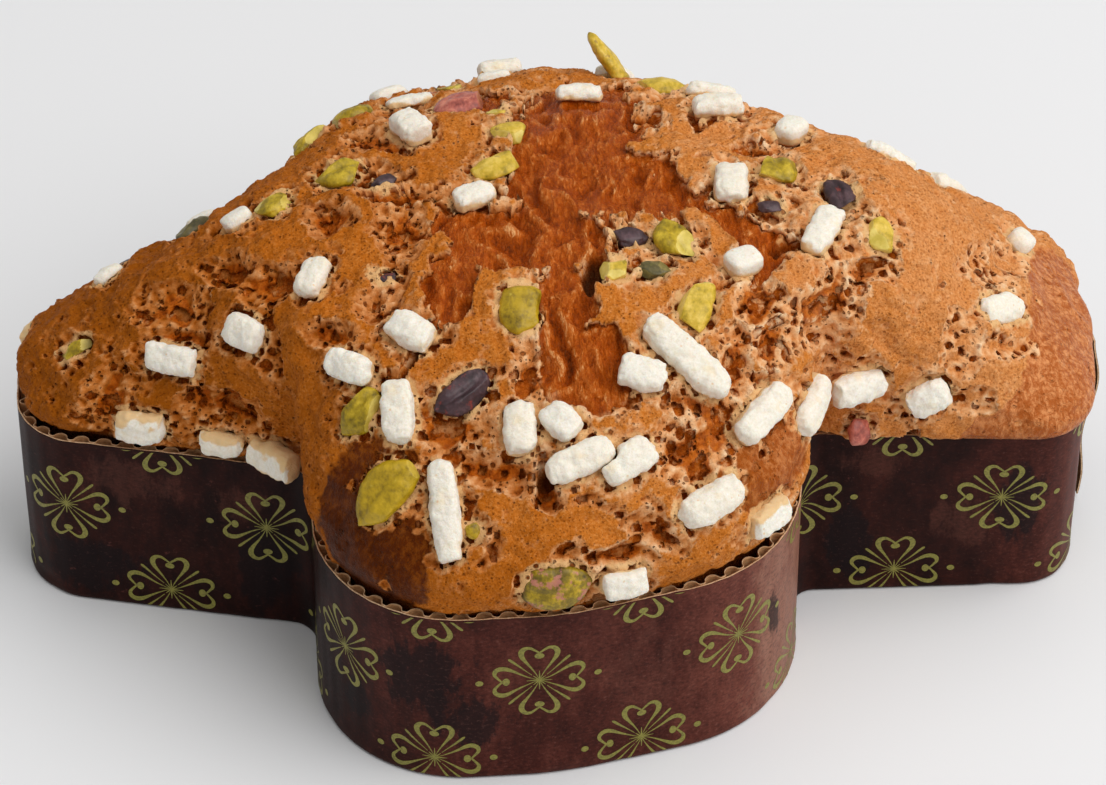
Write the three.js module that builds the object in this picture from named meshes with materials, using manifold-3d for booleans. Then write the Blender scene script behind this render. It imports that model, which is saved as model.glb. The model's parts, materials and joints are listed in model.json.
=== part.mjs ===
// A dove-shaped Easter cake in its fluted paper case, with sugar nibs and chopped pistachios on top.
// Millimetres, +Z up. The origin is on the underside of the case, under the middle of the cake.
// +X runs along the dove's tail, -X along its head, and the wings spread along +Y and -Y.

import * as THREE from "three";
import { mergeVertices } from "three/addons/utils/BufferGeometryUtils.js";
import Module from "manifold-3d";

const wasm = await Module();
wasm.setup();

// ---------------------------------------------------------------- driving dimensions

// The case: a common mould for 750 g of dough.
const CASE_LENGTH = 278;
const CASE_WIDTH = 192;
const CASE_HEIGHT = 55;
const CASE_FLOOR = 1.2;
const BASE_EDGE = 1.2; // how far the rounded bottom edge draws in
const LINER = 0.5; // the smooth printed paper outside
const FLUTE_DEPTH = 2.0;
const FLUTE_PITCH = 5.8;
const FLUTE_UNEVENNESS = 0.08;
const POINTS_A_FLUTE = 3;
const WALL_ARC_STEPS = 4; // two straight steps for each of these, round every corner
const TAIL_LEAN = 0.1; // share of its half width that the tail's rim leans outward
const TAIL_LEAN_FROM = 66;
const TAIL_LEAN_TO = 120;

// Half of the outline, from the middle of the head's end to the middle of the tail's end.
// Each corner is x, y and its fillet radius.
const HALF_LENGTH = CASE_LENGTH / 2;
const HALF_WIDTH = CASE_WIDTH / 2;
const HEAD_CORNER = [-HALF_LENGTH, -19.3, 19];
const HEAD_NOTCH = [-65, -38.3, 7];
const WING_FRONT_LEFT = [-65, -HALF_WIDTH, 38];
const WING_TIP = [-4, -HALF_WIDTH, 60];
const WING_FRONT_RIGHT = [57.5, -82, 42];
const TAIL_NOTCH = [60.5, -34.3, 6];
const TAIL_CORNER = [134, -36.5, 15];
const TAIL_END = [HALF_LENGTH, 0, 60];

// The loose end of the wall's strip, which stands off the end of the tail.
const FLAP_THICKNESS = 1.0;
const FLAP_STAND_OFF = 4.2;
const FLAP_FREE_Y = -3;
const FLAP_ROOT_Y = 17;
const FLAP_STEPS = 6;
const FLAP_ROWS = 5;

// The cake.
const GAP = 0.3; // left between neighbours
const SIDE_CLEARANCE = LINER + FLUTE_DEPTH * (1 + FLUTE_UNEVENNESS) + 0.3 + GAP + 0.5;
const DOME_RISE = 53;
const DOME_SHOULDER = 44; // how far in from the rim, in the swelling's own measure, the top is level
const DOME_SHOULDER_POWER = 1.6;
const FALL_HEAD = [45, 108]; // where the top starts to fall, and over what length
const FALL_TAIL = [80, 54];
const FALL_WING = [33, 76];
const FALL_HEAD_SIDE = 0.24; // how much less the wings rise beside the head
const FALL_TAIL_SIDE = 0.12;
const DOME_NOTCH_RADIUS = 26; // the dough bridges the notches of the case
const SPINE_HALF = 86;
const EDGE_BULGE = 1.4; // how far the bread hangs over the rim
const LIP_HEIGHT = 0.9; // where the dome starts, above the rim
const AROUND_HALF = 54; // steps round one half of the outline
const RINGS = [0, 0.012, 0.04, 0.085, 0.15, 0.23, 0.33, 0.45, 0.58, 0.72, 0.86, 1];
const CRAG_HEIGHT = 2;
const CRAG_SIZE = 11;

// ---------------------------------------------------------------- small helpers

function clamp01(t) {
  return Math.min(1, Math.max(0, t));
}

function smooth(from, to, value) {
  const t = clamp01((value - from) / (to - from));
  return t * t * (3 - 2 * t);
}

// A repeatable number from 0 to 1 for a whole-numbered place.
function hash(i, j, k) {
  const s = Math.sin(i * 127.1 + j * 311.7 + k * 74.7) * 43758.5453;
  return s - Math.floor(s);
}

// Smooth noise from -1 to 1.
function noise(x, y, z) {
  const [i, j, k] = [Math.floor(x), Math.floor(y), Math.floor(z)];
  const [u, v, w] = [x - i, y - j, z - k].map((t) => t * t * (3 - 2 * t));
  let sum = 0;
  for (let corner = 0; corner < 8; corner += 1) {
    const [a, b, c] = [corner & 1, (corner >> 1) & 1, corner >> 2];
    const weight = (a ? u : 1 - u) * (b ? v : 1 - v) * (c ? w : 1 - w);
    sum += weight * hash(i + a, j + b, k + c);
  }
  return 2 * sum - 1;
}

// A closed solid from vertices and triangles.
function solid(positions, triangles) {
  const geometry = new THREE.BufferGeometry();
  geometry.setAttribute("position", new THREE.Float32BufferAttribute(positions, 3));
  geometry.setIndex(triangles);
  return solidOf(geometry);
}

function solidOf(source) {
  const bare = source.clone();
  bare.deleteAttribute("normal");
  bare.deleteAttribute("uv");
  const geometry = mergeVertices(bare, 1e-4);
  const index = [];
  const given = geometry.index.array;
  for (let i = 0; i < given.length; i += 3) {
    const [a, b, c] = [given[i], given[i + 1], given[i + 2]];
    if (a !== b && b !== c && c !== a) index.push(a, b, c);
  }
  const mesh = new wasm.Mesh({
    numProp: 3,
    vertProperties: new Float32Array(geometry.attributes.position.array),
    triVerts: new Uint32Array(index),
  });
  return new wasm.Manifold(mesh);
}

// The largest body of a solid, so that no scrap of a cut is kept.
function largest(body) {
  const bodies = body.decompose();
  return bodies.reduce((best, other) => (other.volume() > best.volume() ? other : best));
}

function geometryOf(body) {
  const mesh = body.getMesh();
  const geometry = new THREE.BufferGeometry();
  geometry.setAttribute("position", new THREE.BufferAttribute(new Float32Array(mesh.vertProperties), 3));
  geometry.setIndex(new THREE.BufferAttribute(new Uint32Array(mesh.triVerts), 1));
  geometry.computeVertexNormals();
  return geometry;
}

// ---------------------------------------------------------------- the outline

// The rounded path through a list of corners, from the first point to the last.
function filletedPath(start, corners, end) {
  const path = new THREE.Path();
  path.moveTo(start.x, start.y);
  const stops = [start, ...corners.map(([x, y]) => new THREE.Vector2(x, y)), end];
  corners.forEach(([x, y, radius], n) => {
    const here = new THREE.Vector2(x, y);
    const incoming = here.clone().sub(stops[n]).normalize();
    const outgoing = stops[n + 2].clone().sub(here).normalize();
    const turn = Math.atan2(incoming.cross(outgoing), incoming.dot(outgoing));
    const reach = radius * Math.tan(Math.abs(turn) / 2);
    const side = Math.sign(turn);
    const enter = here.clone().addScaledVector(incoming, -reach);
    const centre = enter.clone().add(new THREE.Vector2(-incoming.y, incoming.x).multiplyScalar(side * radius));
    const from = Math.atan2(enter.y - centre.y, enter.x - centre.x);
    path.lineTo(enter.x, enter.y);
    path.absarc(centre.x, centre.y, radius, from, from + turn, side < 0);
  });
  path.lineTo(end.x, end.y);
  return path;
}

function halfOutline(notchRadius) {
  const notch = ([x, y, radius]) => [x, y, notchRadius ?? radius];
  return filletedPath(
    new THREE.Vector2(-HALF_LENGTH, 0),
    [
      HEAD_CORNER,
      notch(HEAD_NOTCH),
      WING_FRONT_LEFT,
      WING_TIP,
      WING_FRONT_RIGHT,
      notch(TAIL_NOTCH),
      TAIL_CORNER,
    ],
    new THREE.Vector2(TAIL_END[0], TAIL_END[1]),
  );
}

const caseHalf = halfOutline();
const HALF_PERIMETER = caseHalf.getLength();

// Front points and their mirror images, as one closed counter-clockwise outline.
function mirrored(front) {
  front.at(0).y = 0;
  front.at(-1).y = 0;
  const back = front.slice(1, -1).reverse().map((p) => new THREE.Vector2(p.x, -p.y));
  return [...front, ...back];
}

// Evenly spaced points round the whole outline.
function outline(stepsAHalf, half = caseHalf) {
  return mirrored(half.getSpacedPoints(stepsAHalf));
}

// The outward normal at each point of a closed counter-clockwise outline.
function normals(points) {
  const count = points.length;
  return points.map((_, n) => {
    const along = points[(n + 1) % count].clone().sub(points[(n + count - 1) % count]);
    return new THREE.Vector2(along.y, -along.x).normalize();
  });
}

// The wall leans outward at the tail: where a point of the outline is at height z.
function leant(point, z) {
  const along = clamp01((point.x - TAIL_LEAN_FROM) / (TAIL_LEAN_TO - TAIL_LEAN_FROM));
  const share = TAIL_LEAN * along * clamp01(z / CASE_HEIGHT);
  return new THREE.Vector2(point.x, point.y * (1 + share));
}

// ---------------------------------------------------------------- the paper case

function shapeOf(points, hole) {
  const shape = new THREE.Shape(points);
  if (hole) shape.holes.push(new THREE.Path(hole));
  return shape;
}

// An upright prism between two heights, whose outline may differ at its foot and its top.
function prism(shape, foot, top, place) {
  const geometry = new THREE.ExtrudeGeometry(shape, { depth: top - foot, bevelEnabled: false });
  const position = geometry.attributes.position;
  for (let n = 0; n < position.count; n += 1) {
    const z = position.getZ(n) + foot;
    const at = place(new THREE.Vector2(position.getX(n), position.getY(n)), z);
    position.setXYZ(n, at.x, at.y, z);
  }
  return solidOf(geometry);
}

function paperCase() {
  const flutes = 2 * Math.round(HALF_PERIMETER / FLUTE_PITCH);
  const inner = outline((flutes * POINTS_A_FLUTE) / 2);
  const inward = normals(inner);
  const fluted = inner.map((point, n) => {
    const phase = (2 * Math.PI * n) / POINTS_A_FLUTE;
    const uneven = 1 + FLUTE_UNEVENNESS * (2 * hash(n, 1, 2) - 1);
    const depth = LINER + ((FLUTE_DEPTH * (1 - Math.cos(phase))) / 1.5 + 0.3) * uneven;
    return point.clone().addScaledVector(inward[n], -depth);
  });
  const outer = mirrored(caseHalf.getPoints(WALL_ARC_STEPS));
  const wall = prism(shapeOf(outer, fluted), CASE_FLOOR, CASE_HEIGHT, leant);

  const outward = normals(outer);
  const drawnIn = outer.map((point, n) => point.clone().addScaledVector(outward[n], -BASE_EDGE));
  const base = prism(shapeOf(outer), 0, CASE_FLOOR, (point, z) => {
    if (z > CASE_FLOOR / 2) return leant(point, z);
    const n = outer.findIndex((p) => p.distanceTo(point) < 1e-3);
    return drawnIn[n];
  });
  return wall.add(base).add(seamFlap());
}

// A thin wavy strip that leaves the tail's end at its root and stands off at its free edge.
function seamFlap() {
  const rows = [];
  for (let row = 0; row <= FLAP_ROWS; row += 1) {
    const height = row / FLAP_ROWS;
    const z = CASE_FLOOR + height * (CASE_HEIGHT - CASE_FLOOR);
    const wave = 1 + 0.35 * Math.sin(2 * Math.PI * (height * 1.6 + 0.1));
    const stand = FLAP_STAND_OFF * (0.45 + 0.55 * height) * wave;
    const line = [];
    for (let step = 0; step <= FLAP_STEPS; step += 1) {
      const along = step / FLAP_STEPS;
      const y = THREE.MathUtils.lerp(FLAP_ROOT_Y, FLAP_FREE_Y, along);
      const wallX = wallEndAt(y);
      line.push([wallX - 0.4 + stand * along ** 1.5, y, z]);
    }
    rows.push(line);
  }
  const positions = [];
  const columns = FLAP_STEPS + 1;
  for (const thickness of [0, FLAP_THICKNESS]) {
    for (const line of rows) for (const [x, y, z] of line) positions.push(x + thickness, y, z);
  }
  const layer = rows.length * columns;
  const triangles = [];
  const quad = (a, b, c, d) => triangles.push(a, b, c, a, c, d);
  for (let r = 0; r < FLAP_ROWS; r += 1) {
    for (let c = 0; c < FLAP_STEPS; c += 1) {
      const a = r * columns + c;
      quad(a, a + 1, a + columns + 1, a + columns);
      quad(layer + a, layer + a + columns, layer + a + columns + 1, layer + a + 1);
    }
    const left = r * columns;
    const right = left + FLAP_STEPS;
    quad(left, left + columns, layer + left + columns, layer + left);
    quad(right, layer + right, layer + right + columns, right + columns);
  }
  for (let c = 0; c < FLAP_STEPS; c += 1) {
    quad(c, layer + c, layer + c + 1, c + 1);
    const top = FLAP_ROWS * columns + c;
    quad(top, top + 1, layer + top + 1, layer + top);
  }
  return solid(positions, triangles);
}

// Where the tail's end wall stands at a given y.
function wallEndAt(y) {
  const slope = (TAIL_END[0] - TAIL_CORNER[0]) / Math.abs(TAIL_CORNER[1]);
  return TAIL_END[0] - slope * Math.abs(y);
}

// ---------------------------------------------------------------- the dome

// The dough swells like a film over the outline: the height follows the solution of
// Laplace(u) = -1 inside the outline, u = 0 on it.
const GRID = 2;
const COLUMNS = Math.ceil(HALF_LENGTH / GRID) + 3;
const ROWS = Math.ceil(HALF_WIDTH / GRID) + 3;

function inside(x, y, polygon) {
  let odd = false;
  for (let i = 0, j = polygon.length - 1; i < polygon.length; j = i, i += 1) {
    const [a, b] = [polygon[i], polygon[j]];
    if (a.y > y !== b.y > y && x < ((b.x - a.x) * (y - a.y)) / (b.y - a.y) + a.x) odd = !odd;
  }
  return odd;
}

function swell() {
  const polygon = outline(AROUND_HALF * 2, halfOutline(DOME_NOTCH_RADIUS));
  const wide = 2 * COLUMNS + 1;
  const deep = 2 * ROWS + 1;
  const free = new Uint8Array(wide * deep);
  for (let r = 0; r < deep; r += 1) {
    for (let c = 0; c < wide; c += 1) {
      free[r * wide + c] = inside((c - COLUMNS) * GRID, (r - ROWS) * GRID, polygon) ? 1 : 0;
    }
  }
  const u = new Float64Array(wide * deep);
  const overRelax = 1.93;
  for (let pass = 0; pass < 260; pass += 1) {
    for (let n = wide; n < u.length - wide; n += 1) {
      if (!free[n]) continue;
      const mean = (u[n - 1] + u[n + 1] + u[n - wide] + u[n + wide] + GRID * GRID) / 4;
      u[n] += overRelax * (mean - u[n]);
    }
  }
  return (x, y) => {
    const c = THREE.MathUtils.clamp(x / GRID + COLUMNS, 0, wide - 2);
    const r = THREE.MathUtils.clamp(y / GRID + ROWS, 0, deep - 2);
    const [i, j] = [Math.floor(c), Math.floor(r)];
    const [s, t] = [c - i, r - j];
    const low = u[j * wide + i] * (1 - s) + u[j * wide + i + 1] * s;
    const high = u[(j + 1) * wide + i] * (1 - s) + u[(j + 1) * wide + i + 1] * s;
    return low * (1 - t) + high * t;
  };
}

const swelling = swell();

function fall(distance, [start, length]) {
  return Math.max(0, (distance - start) / length) ** 1.5;
}

function domeHeight(x, y) {
  const inwardness = Math.min(1, Math.sqrt(2 * swelling(x, y)) / DOME_SHOULDER);
  const shoulder = 1 - (1 - inwardness) ** DOME_SHOULDER_POWER;
  const falls = fall(-x, FALL_HEAD) + fall(x, FALL_TAIL) + fall(Math.abs(y), FALL_WING);
  const share = x < 0 ? FALL_HEAD_SIDE : FALL_TAIL_SIDE;
  const side = (share * Math.abs(x * y)) / HEAD_NOTCH[0] ** 2;
  return CASE_HEIGHT + LIP_HEIGHT + DOME_RISE * shoulder * Math.exp(-falls - side);
}

function domeNormal(x, y) {
  const step = 3;
  const dx = domeHeight(x + step, y) - domeHeight(x - step, y);
  const dy = domeHeight(x, y + step) - domeHeight(x, y - step);
  return new THREE.Vector3(-dx, -dy, 2 * step).normalize();
}

// Crags of the burst glaze and the crust.
function crags(x, y, z) {
  const broad = noise(x / CRAG_SIZE, y / CRAG_SIZE, z / CRAG_SIZE + 7);
  const ridge = 1 - 2 * Math.abs(noise(x / 8 + 31, y / 8, z / 8));
  return CRAG_HEIGHT * (0.6 * broad + 0.4 * ridge);
}

// How much the bread swells over the rim: along the front of the tail and round its end.
function overhang(x, y) {
  const tailFront = smooth(60, 76, x) * smooth(10, 22, -y);
  const tailEnd = smooth(120, 132, x);
  return Math.max(tailFront, tailEnd);
}

// How far the bread has shrunk from the case beyond its clearance.
function shrink(x, y) {
  const head = 2.2 * smooth(-100, -122, x);
  const frontRight = 2.6 * smooth(22, 40, x) * smooth(52, 64, -y) * (1 - smooth(56, 60, x));
  const notches = [HEAD_NOTCH, TAIL_NOTCH].map(([u, v]) => Math.hypot(x - u, Math.abs(y) - Math.abs(v)));
  const corner = 0.9 * (1 - smooth(6, 13, Math.min(...notches)));
  return head + frontRight + corner;
}

function cakeBody(extra = 0) {
  const points = outline(AROUND_HALF);
  const outward = normals(points);
  const count = points.length;
  const positions = [];
  const drawn = points.map((p, n) => SIDE_CLEARANCE + shrink(p.x, p.y) + (n % 2 ? 0.15 : 0));
  const ring = (place) => points.forEach((point, n) => positions.push(...place(point, outward[n], n)));

  const footZ = CASE_FLOOR + GAP - extra;
  const lipZ = CASE_HEIGHT + GAP + 0.2 - extra;
  ring((p, out, n) => [...leant(p, 0).addScaledVector(out, extra - drawn[n] - 0.6).toArray(), footZ]);
  ring((p, out, n) => [...leant(p, 0).addScaledVector(out, extra - drawn[n]).toArray(), footZ + 4]);
  ring((p, out, n) => [...leant(p, CASE_HEIGHT).addScaledVector(out, extra - drawn[n]).toArray(), lipZ]);

  RINGS.forEach((t) => {
    ring((p, out, n) => {
      const half = n <= AROUND_HALF ? n : count - n;
      const spine = new THREE.Vector2(THREE.MathUtils.lerp(-SPINE_HALF, SPINE_HALF, half / AROUND_HALF), 0);
      const at = p.clone().lerp(spine, t);
      const rise = domeHeight(at.x, at.y) - CASE_HEIGHT - LIP_HEIGHT;
      const shift = edgeShift(p.x, p.y, rise, drawn[n]);
      const lean = leant(p, CASE_HEIGHT).sub(p);
      if (t < 1) at.addScaledVector(lean, 1 - t).addScaledVector(out, shift * (1 - t));
      else at.copy(spine);
      const z = CASE_HEIGHT + LIP_HEIGHT + rise;
      const place = new THREE.Vector3(at.x, at.y, z);
      const crag = crags(at.x, at.y, z) * smooth(0, 0.035, t);
      const normal = t > 0.05 ? domeNormal(at.x, at.y) : new THREE.Vector3(out.x, out.y, 0.4).normalize();
      return place.addScaledVector(normal, crag + extra).toArray();
    });
  });

  const triangles = [];
  const rings = RINGS.length + 3;
  for (let r = 0; r < rings - 1; r += 1) {
    for (let n = 0; n < count; n += 1) {
      const next = (n + 1) % count;
      const [a, b, c, d] = [r * count + n, r * count + next, (r + 1) * count + next, (r + 1) * count + n];
      if ((n + r) % 2) triangles.push(a, b, c, a, c, d);
      else triangles.push(a, b, d, b, c, d);
    }
  }
  const foot = positions.slice(0, count * 3);
  const flat = [];
  for (let n = 0; n < count; n += 1) flat.push(new THREE.Vector2(foot[3 * n], foot[3 * n + 1]));
  for (const [a, b, c] of THREE.ShapeUtils.triangulateShape(flat, [])) triangles.push(c, b, a);
  return solid(positions, triangles);
}

// ---------------------------------------------------------------- the toppings

// Sugar nibs that are nodes of their own. Each row is x, y, heading in degrees, length and width,
// then the height of its middle where it lies on the steep edge instead of the top.
const SUGAR = [
  [-128, 9, 35, 10, 6.5, 62], // head, over the rim
  [-113, 12, 30, 10, 6],
  [-61, -22, 60, 12.5, 7.5],
  [-78, -26, -38, 12, 9],
  [-97, -22, -20, 16, 8],
  [-53, -48, -32, 14, 8],
  [-38, -43, -36, 13.5, 8.5],
  [-106, -25, -8, 14, 9.5, 63],
  [-85, -30, -14, 12, 7.5, 61],
  [-70, -36, -35, 15.5, 8.5, 60],
  [-42, -61, 82, 17, 8.5], // left of the front wing
  [-34, 32, -62, 13.5, 9],
  [-33, 57, 5, 15, 7],
  [-20, 0, 29, 12, 8],
  [10, 44, 0, 13, 6.5],
  [45, 34, 4, 14.5, 8],
  [45, 46, 0, 15, 6],
  [45, 0, 82, 16, 9],
  [88, 20, -12, 16, 6.5],
  [66, -18, 60, 17.5, 8],
  [28, -55, -50, 28, 9.3], // the longest
  [17, -59, -17, 13.5, 9.5],
  [-13, -69, 84, 14.5, 8.7],
  [-3, -69, -53, 11, 8.7],
  [1, -77, 28, 19, 8.5],
  [12, -77, 37, 16, 9],
  [46, -62, 62, 20, 8.4],
  [57, -50, 82, 19.5, 8.4, 80],
  [71, -33, 10, 15.5, 8.5, 74],
  [111, -20, 22, 16, 8.4],
  [92, -37, 60, 12, 9, 69],
  [-32, -82, 84, 27, 8],
  [32, -81, 40, 18.5, 9.3],
  [46, -75, 40, 15, 8, 66],
  [10, -91, 12, 13, 8, 62],
  [22, 74, 65, 17, 8.5], // out of sight, behind
  [-8, 80, 12, 14, 8.5],
  [104, 26, 40, 15, 8],
];

// Larger pieces of pistachio, in rows of the same kind, and the colour that shows.
const PISTACHIOS = [
  [-91, 20, 70, 11, 8, null, "dark"],
  [-53, 17, -15, 13, 10.5, null, "green"],
  [-49, 52, 0, 12, 9, null, "green"],
  [-20, 47, 45, 17, 11.5, null, "skin"],
  [-13, 13, 30, 16, 8, null, "cut"],
  [32, 54, -20, 14, 9.5, null, "cut"],
  [57, 4, 0, 12.2, 10.6, null, "green"],
  [72, -6, -75, 14, 7, null, "skin"],
  [29, -20, -66, 14, 8.5, null, "green"],
  [32, -42, 74, 17, 7.5, null, "cut"],
  [-11, -40, 80, 15.5, 10.5, null, "green"],
  [-51, -58, 40, 13, 9, null, "green"],
  [-26, -59, 33, 15, 8.5, null, "skin"],
  [-46, -76, 40, 20, 11, null, "green"],
  [-7, -91, 4, 17, 11, 64, "green"],
  [72, -34, -30, 9, 7, 60, "skin"],
  [-60, 44, 30, 13, 9, null, "green"], // behind
  [52, 58, -35, 12, 9, null, "cut"],
];

// The slice of pistachio that stands on its edge at the top: foot, heading, lean, length and width.
const STANDING_SLICE = { x: 20, y: 66, heading: 172, lift: 52, length: 19, width: 8 };
const SLICE_FOOT = 6; // how much of it the crust holds

// Small bits baked into the crust: x, y, heading, length, width and kind.
const BITS = [
  [-79, 8, 20, 8, 6, "sugar"],
  [-10, 72, 0, 9, 5, "sugar"],
  [63, 24, 60, 9.5, 7.5, "sugar"],
  [45, -29, 25, 9.4, 7.4, "sugar"],
  [-122, -9, 15, 10, 4.6, "nut"],
  [-70, 9, 35, 10, 8.5, "nut"],
  [-42, 10, 44, 8, 4.6, "nut"],
  [-9, 27, -12, 10, 7.5, "nut"],
  [-12, 38, -20, 5.7, 3.4, "nut"],
  [-22, 70, 0, 9, 5, "nut"],
  [4, 70, 0, 9, 4, "nut"],
  [54, -9, -7, 7, 3.6, "nut"],
  [81, -18, -64, 9.5, 7.5, "nut"],
  [18, -17, 10, 10, 7, "nut"],
  [23, -30, -3, 8.5, 5.4, "nut"],
  [13, -31, 1, 9, 7.5, "nut"],
  [-44, -25, -4, 7, 4, "nut"],
  [-26, -87, 86, 4.6, 3.6, "nut"],
  [-38, 74, 30, 10, 8, "sugar"], // behind
  [24, 88, -20, 9, 7, "sugar"],
  [-88, 24, 10, 9, 7, "sugar"],
  [122, 12, 50, 9, 7, "sugar"],
  [70, 36, -30, 10, 7.5, "sugar"],
  [-20, 86, 15, 9, 6, "nut"],
  [40, 76, 50, 10, 7, "nut"],
  [86, 33, 0, 8, 6, "nut"],
  [-108, 20, 60, 8, 5, "nut"],
];

const SMALL = 10.1; // a piece shorter than this has few sides
const NIB_THICKNESS = 0.88; // of its width
const NIB_SUNK = 0.32; // share of its thickness below the crust
const NIB_SQUARENESS = 0.62;
const NUT_THICKNESS = 0.5;
const NUT_SUNK = 0.36;
const NUT_SQUARENESS = 0.85;
const NUT_FACETS = 3;

// A ball pulled towards a box of the given half sizes, as uneven as roughness says.
function lump(halfLength, halfWidth, halfThickness, squareness, roughness, seed) {
  const geometry = new THREE.IcosahedronGeometry(1, halfLength < SMALL / 2 ? 0 : 1);
  const position = geometry.attributes.position;
  const square = (t) => Math.sign(t) * Math.abs(t) ** squareness;
  for (let n = 0; n < position.count; n += 1) {
    const d = new THREE.Vector3().fromBufferAttribute(position, n).normalize();
    const swell = 1 + roughness * noise(d.x * 1.7 + seed * 5.3, d.y * 1.7, d.z * 1.7 + seed);
    const size = [halfLength, halfWidth, halfThickness].map((half) => half * swell);
    position.setXYZ(n, square(d.x) * size[0], square(d.y) * size[1], square(d.z) * size[2]);
  }
  return geometry;
}

function nib(length, width, seed) {
  return lump(length / 2, width / 2, (width * NIB_THICKNESS) / 2, NIB_SQUARENESS, 0.09, seed);
}

// A chopped nut: a flat lump with broken faces.
function nut(length, width, seed) {
  const geometry = lump(length / 2, width / 2, (width * NUT_THICKNESS) / 2, NUT_SQUARENESS, 0.12, seed);
  const position = geometry.attributes.position;
  for (let facet = 0; facet < NUT_FACETS; facet += 1) {
    const angle = 2 * Math.PI * hash(seed, facet, 3);
    const rise = 1.6 * hash(seed, facet, 9) - 0.3;
    const normal = new THREE.Vector3(Math.cos(angle), Math.sin(angle), rise).normalize();
    const reach = 0.36 * (Math.abs(normal.x) * length + Math.abs(normal.y) * width + normal.z * 2);
    for (let n = 0; n < position.count; n += 1) {
      const at = new THREE.Vector3().fromBufferAttribute(position, n);
      const over = at.dot(normal) - reach;
      if (over > 0) position.setXYZ(n, ...at.addScaledVector(normal, -over).toArray());
    }
  }
  return geometry;
}

// The place and turn of a piece that lies on the crust with its long axis at a heading.
function lying(x, y, heading, thickness, sunk, z, lift = 0) {
  const spot = z == null ? onTop(x, y) : onEdge(x, y, z);
  const up = z == null ? domeNormal(spot.x, spot.y) : edgeNormal(spot.x, spot.y);
  const turn = THREE.MathUtils.degToRad(heading);
  const long = new THREE.Vector3(Math.cos(turn), Math.sin(turn), 0);
  long.addScaledVector(up, -long.dot(up)).normalize();
  const tilt = THREE.MathUtils.degToRad(lift);
  const axis = long.clone().multiplyScalar(Math.cos(tilt)).addScaledVector(up, Math.sin(tilt));
  const top = up.clone().multiplyScalar(Math.cos(tilt)).addScaledVector(long, -Math.sin(tilt));
  const across = top.clone().cross(axis);
  const centre = spot.addScaledVector(up, thickness * (0.5 - sunk));
  return new THREE.Matrix4().makeBasis(axis, across, top).setPosition(centre);
}

function onTop(x, y) {
  const z = domeHeight(x, y);
  return new THREE.Vector3(x, y, z + crags(x, y, z));
}

// The place on the steep edge at height z, straight out or in from a place in plan.
function onEdge(x, y, z) {
  const spot = new THREE.Vector3(x, y, z);
  const step = 0.25;
  for (let tries = 0; tries < 80 && domeHeight(spot.x, spot.y) > z; tries += 1) {
    const out = domeNormal(spot.x, spot.y).setZ(0).normalize();
    spot.addScaledVector(out, step);
  }
  const out = domeNormal(spot.x, spot.y).setZ(0).normalize();
  return spot.addScaledVector(out, edgeShift(spot.x, spot.y, z - CASE_HEIGHT - LIP_HEIGHT));
}

// How far the edge of the bread stands out from the smooth dome, or in from it, at a rise above its foot.
function edgeShift(x, y, rise, drawn = SIDE_CLEARANCE + shrink(x, y), out = overhang(x, y)) {
  const bulge = EDGE_BULGE * out * Math.exp(-(((rise - 3) / 6) ** 2));
  return bulge - drawn * (1 - out) * Math.exp(-rise / 8);
}

// Which way the steep edge of the dome faces.
function edgeNormal(x, y) {
  const flat = domeNormal(x, y);
  return new THREE.Vector3(flat.x, flat.y, 0.45 * flat.z + 0.15).normalize();
}

function placed(geometry, matrix, grow = 0) {
  const copy = geometry.clone();
  copy.computeBoundingBox();
  const size = copy.boundingBox.getSize(new THREE.Vector3());
  const scale = new THREE.Matrix4().makeScale(...size.toArray().map((extent) => 1 + (2 * grow) / extent));
  copy.applyMatrix4(scale).applyMatrix4(matrix);
  return solidOf(copy);
}

// ---------------------------------------------------------------- the model

const PAPER = new THREE.MeshStandardMaterial({ color: 0x4a2c26, roughness: 0.55, metalness: 0 });
const BREAD = new THREE.MeshStandardMaterial({ color: 0xb87840, roughness: 0.8, metalness: 0 });
const SUGAR_WHITE = new THREE.MeshStandardMaterial({ color: 0xe8e2d2, roughness: 0.7, metalness: 0 });
const NUT_COLOURS = {
  green: new THREE.MeshStandardMaterial({ color: 0x8a8a2e, roughness: 0.6, metalness: 0 }),
  cut: new THREE.MeshStandardMaterial({ color: 0xc4b04a, roughness: 0.6, metalness: 0 }),
  dark: new THREE.MeshStandardMaterial({ color: 0x5c5030, roughness: 0.6, metalness: 0 }),
  skin: new THREE.MeshStandardMaterial({ color: 0x6e3f44, roughness: 0.6, metalness: 0 }),
};

const cake = new THREE.Group();

function add(name, body, material) {
  const mesh = new THREE.Mesh(geometryOf(body), material);
  mesh.name = name;
  cake.add(mesh);
}

// Nothing on top reaches below the rim, so that it stays clear of the case.
const rimOutline = outline(AROUND_HALF);
const rimNormals = normals(rimOutline);
const roundTheCase = rimOutline.map((point, n) => leant(point, CASE_HEIGHT).addScaledVector(rimNormals[n], 30));
const belowRim = prism(shapeOf(roundTheCase), -10, CASE_HEIGHT + 0.35, (point) => point);

const bread = cakeBody();
const breadSpace = cakeBody(GAP + 0.05).add(belowRim);
const taken = []; // the enlarged space of each piece placed so far

function settle(name, geometry, matrix, material) {
  let body = placed(geometry, matrix).subtract(breadSpace);
  const box = new THREE.Box3().setFromPoints(corners(body));
  for (const other of taken) if (other.box.intersectsBox(box)) body = body.subtract(other.space);
  body = largest(body);
  const space = placed(geometry, matrix, GAP + 0.05);
  taken.push({ space, box: new THREE.Box3().setFromPoints(corners(space)) });
  add(name, body, material);
}

function corners(body) {
  const { min, max } = body.boundingBox();
  return [new THREE.Vector3(...min), new THREE.Vector3(...max)];
}

function numbered(stem, n) {
  return `${stem}_${String(n + 1).padStart(2, "0")}`;
}

add("paper_case", paperCase(), PAPER);

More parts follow.
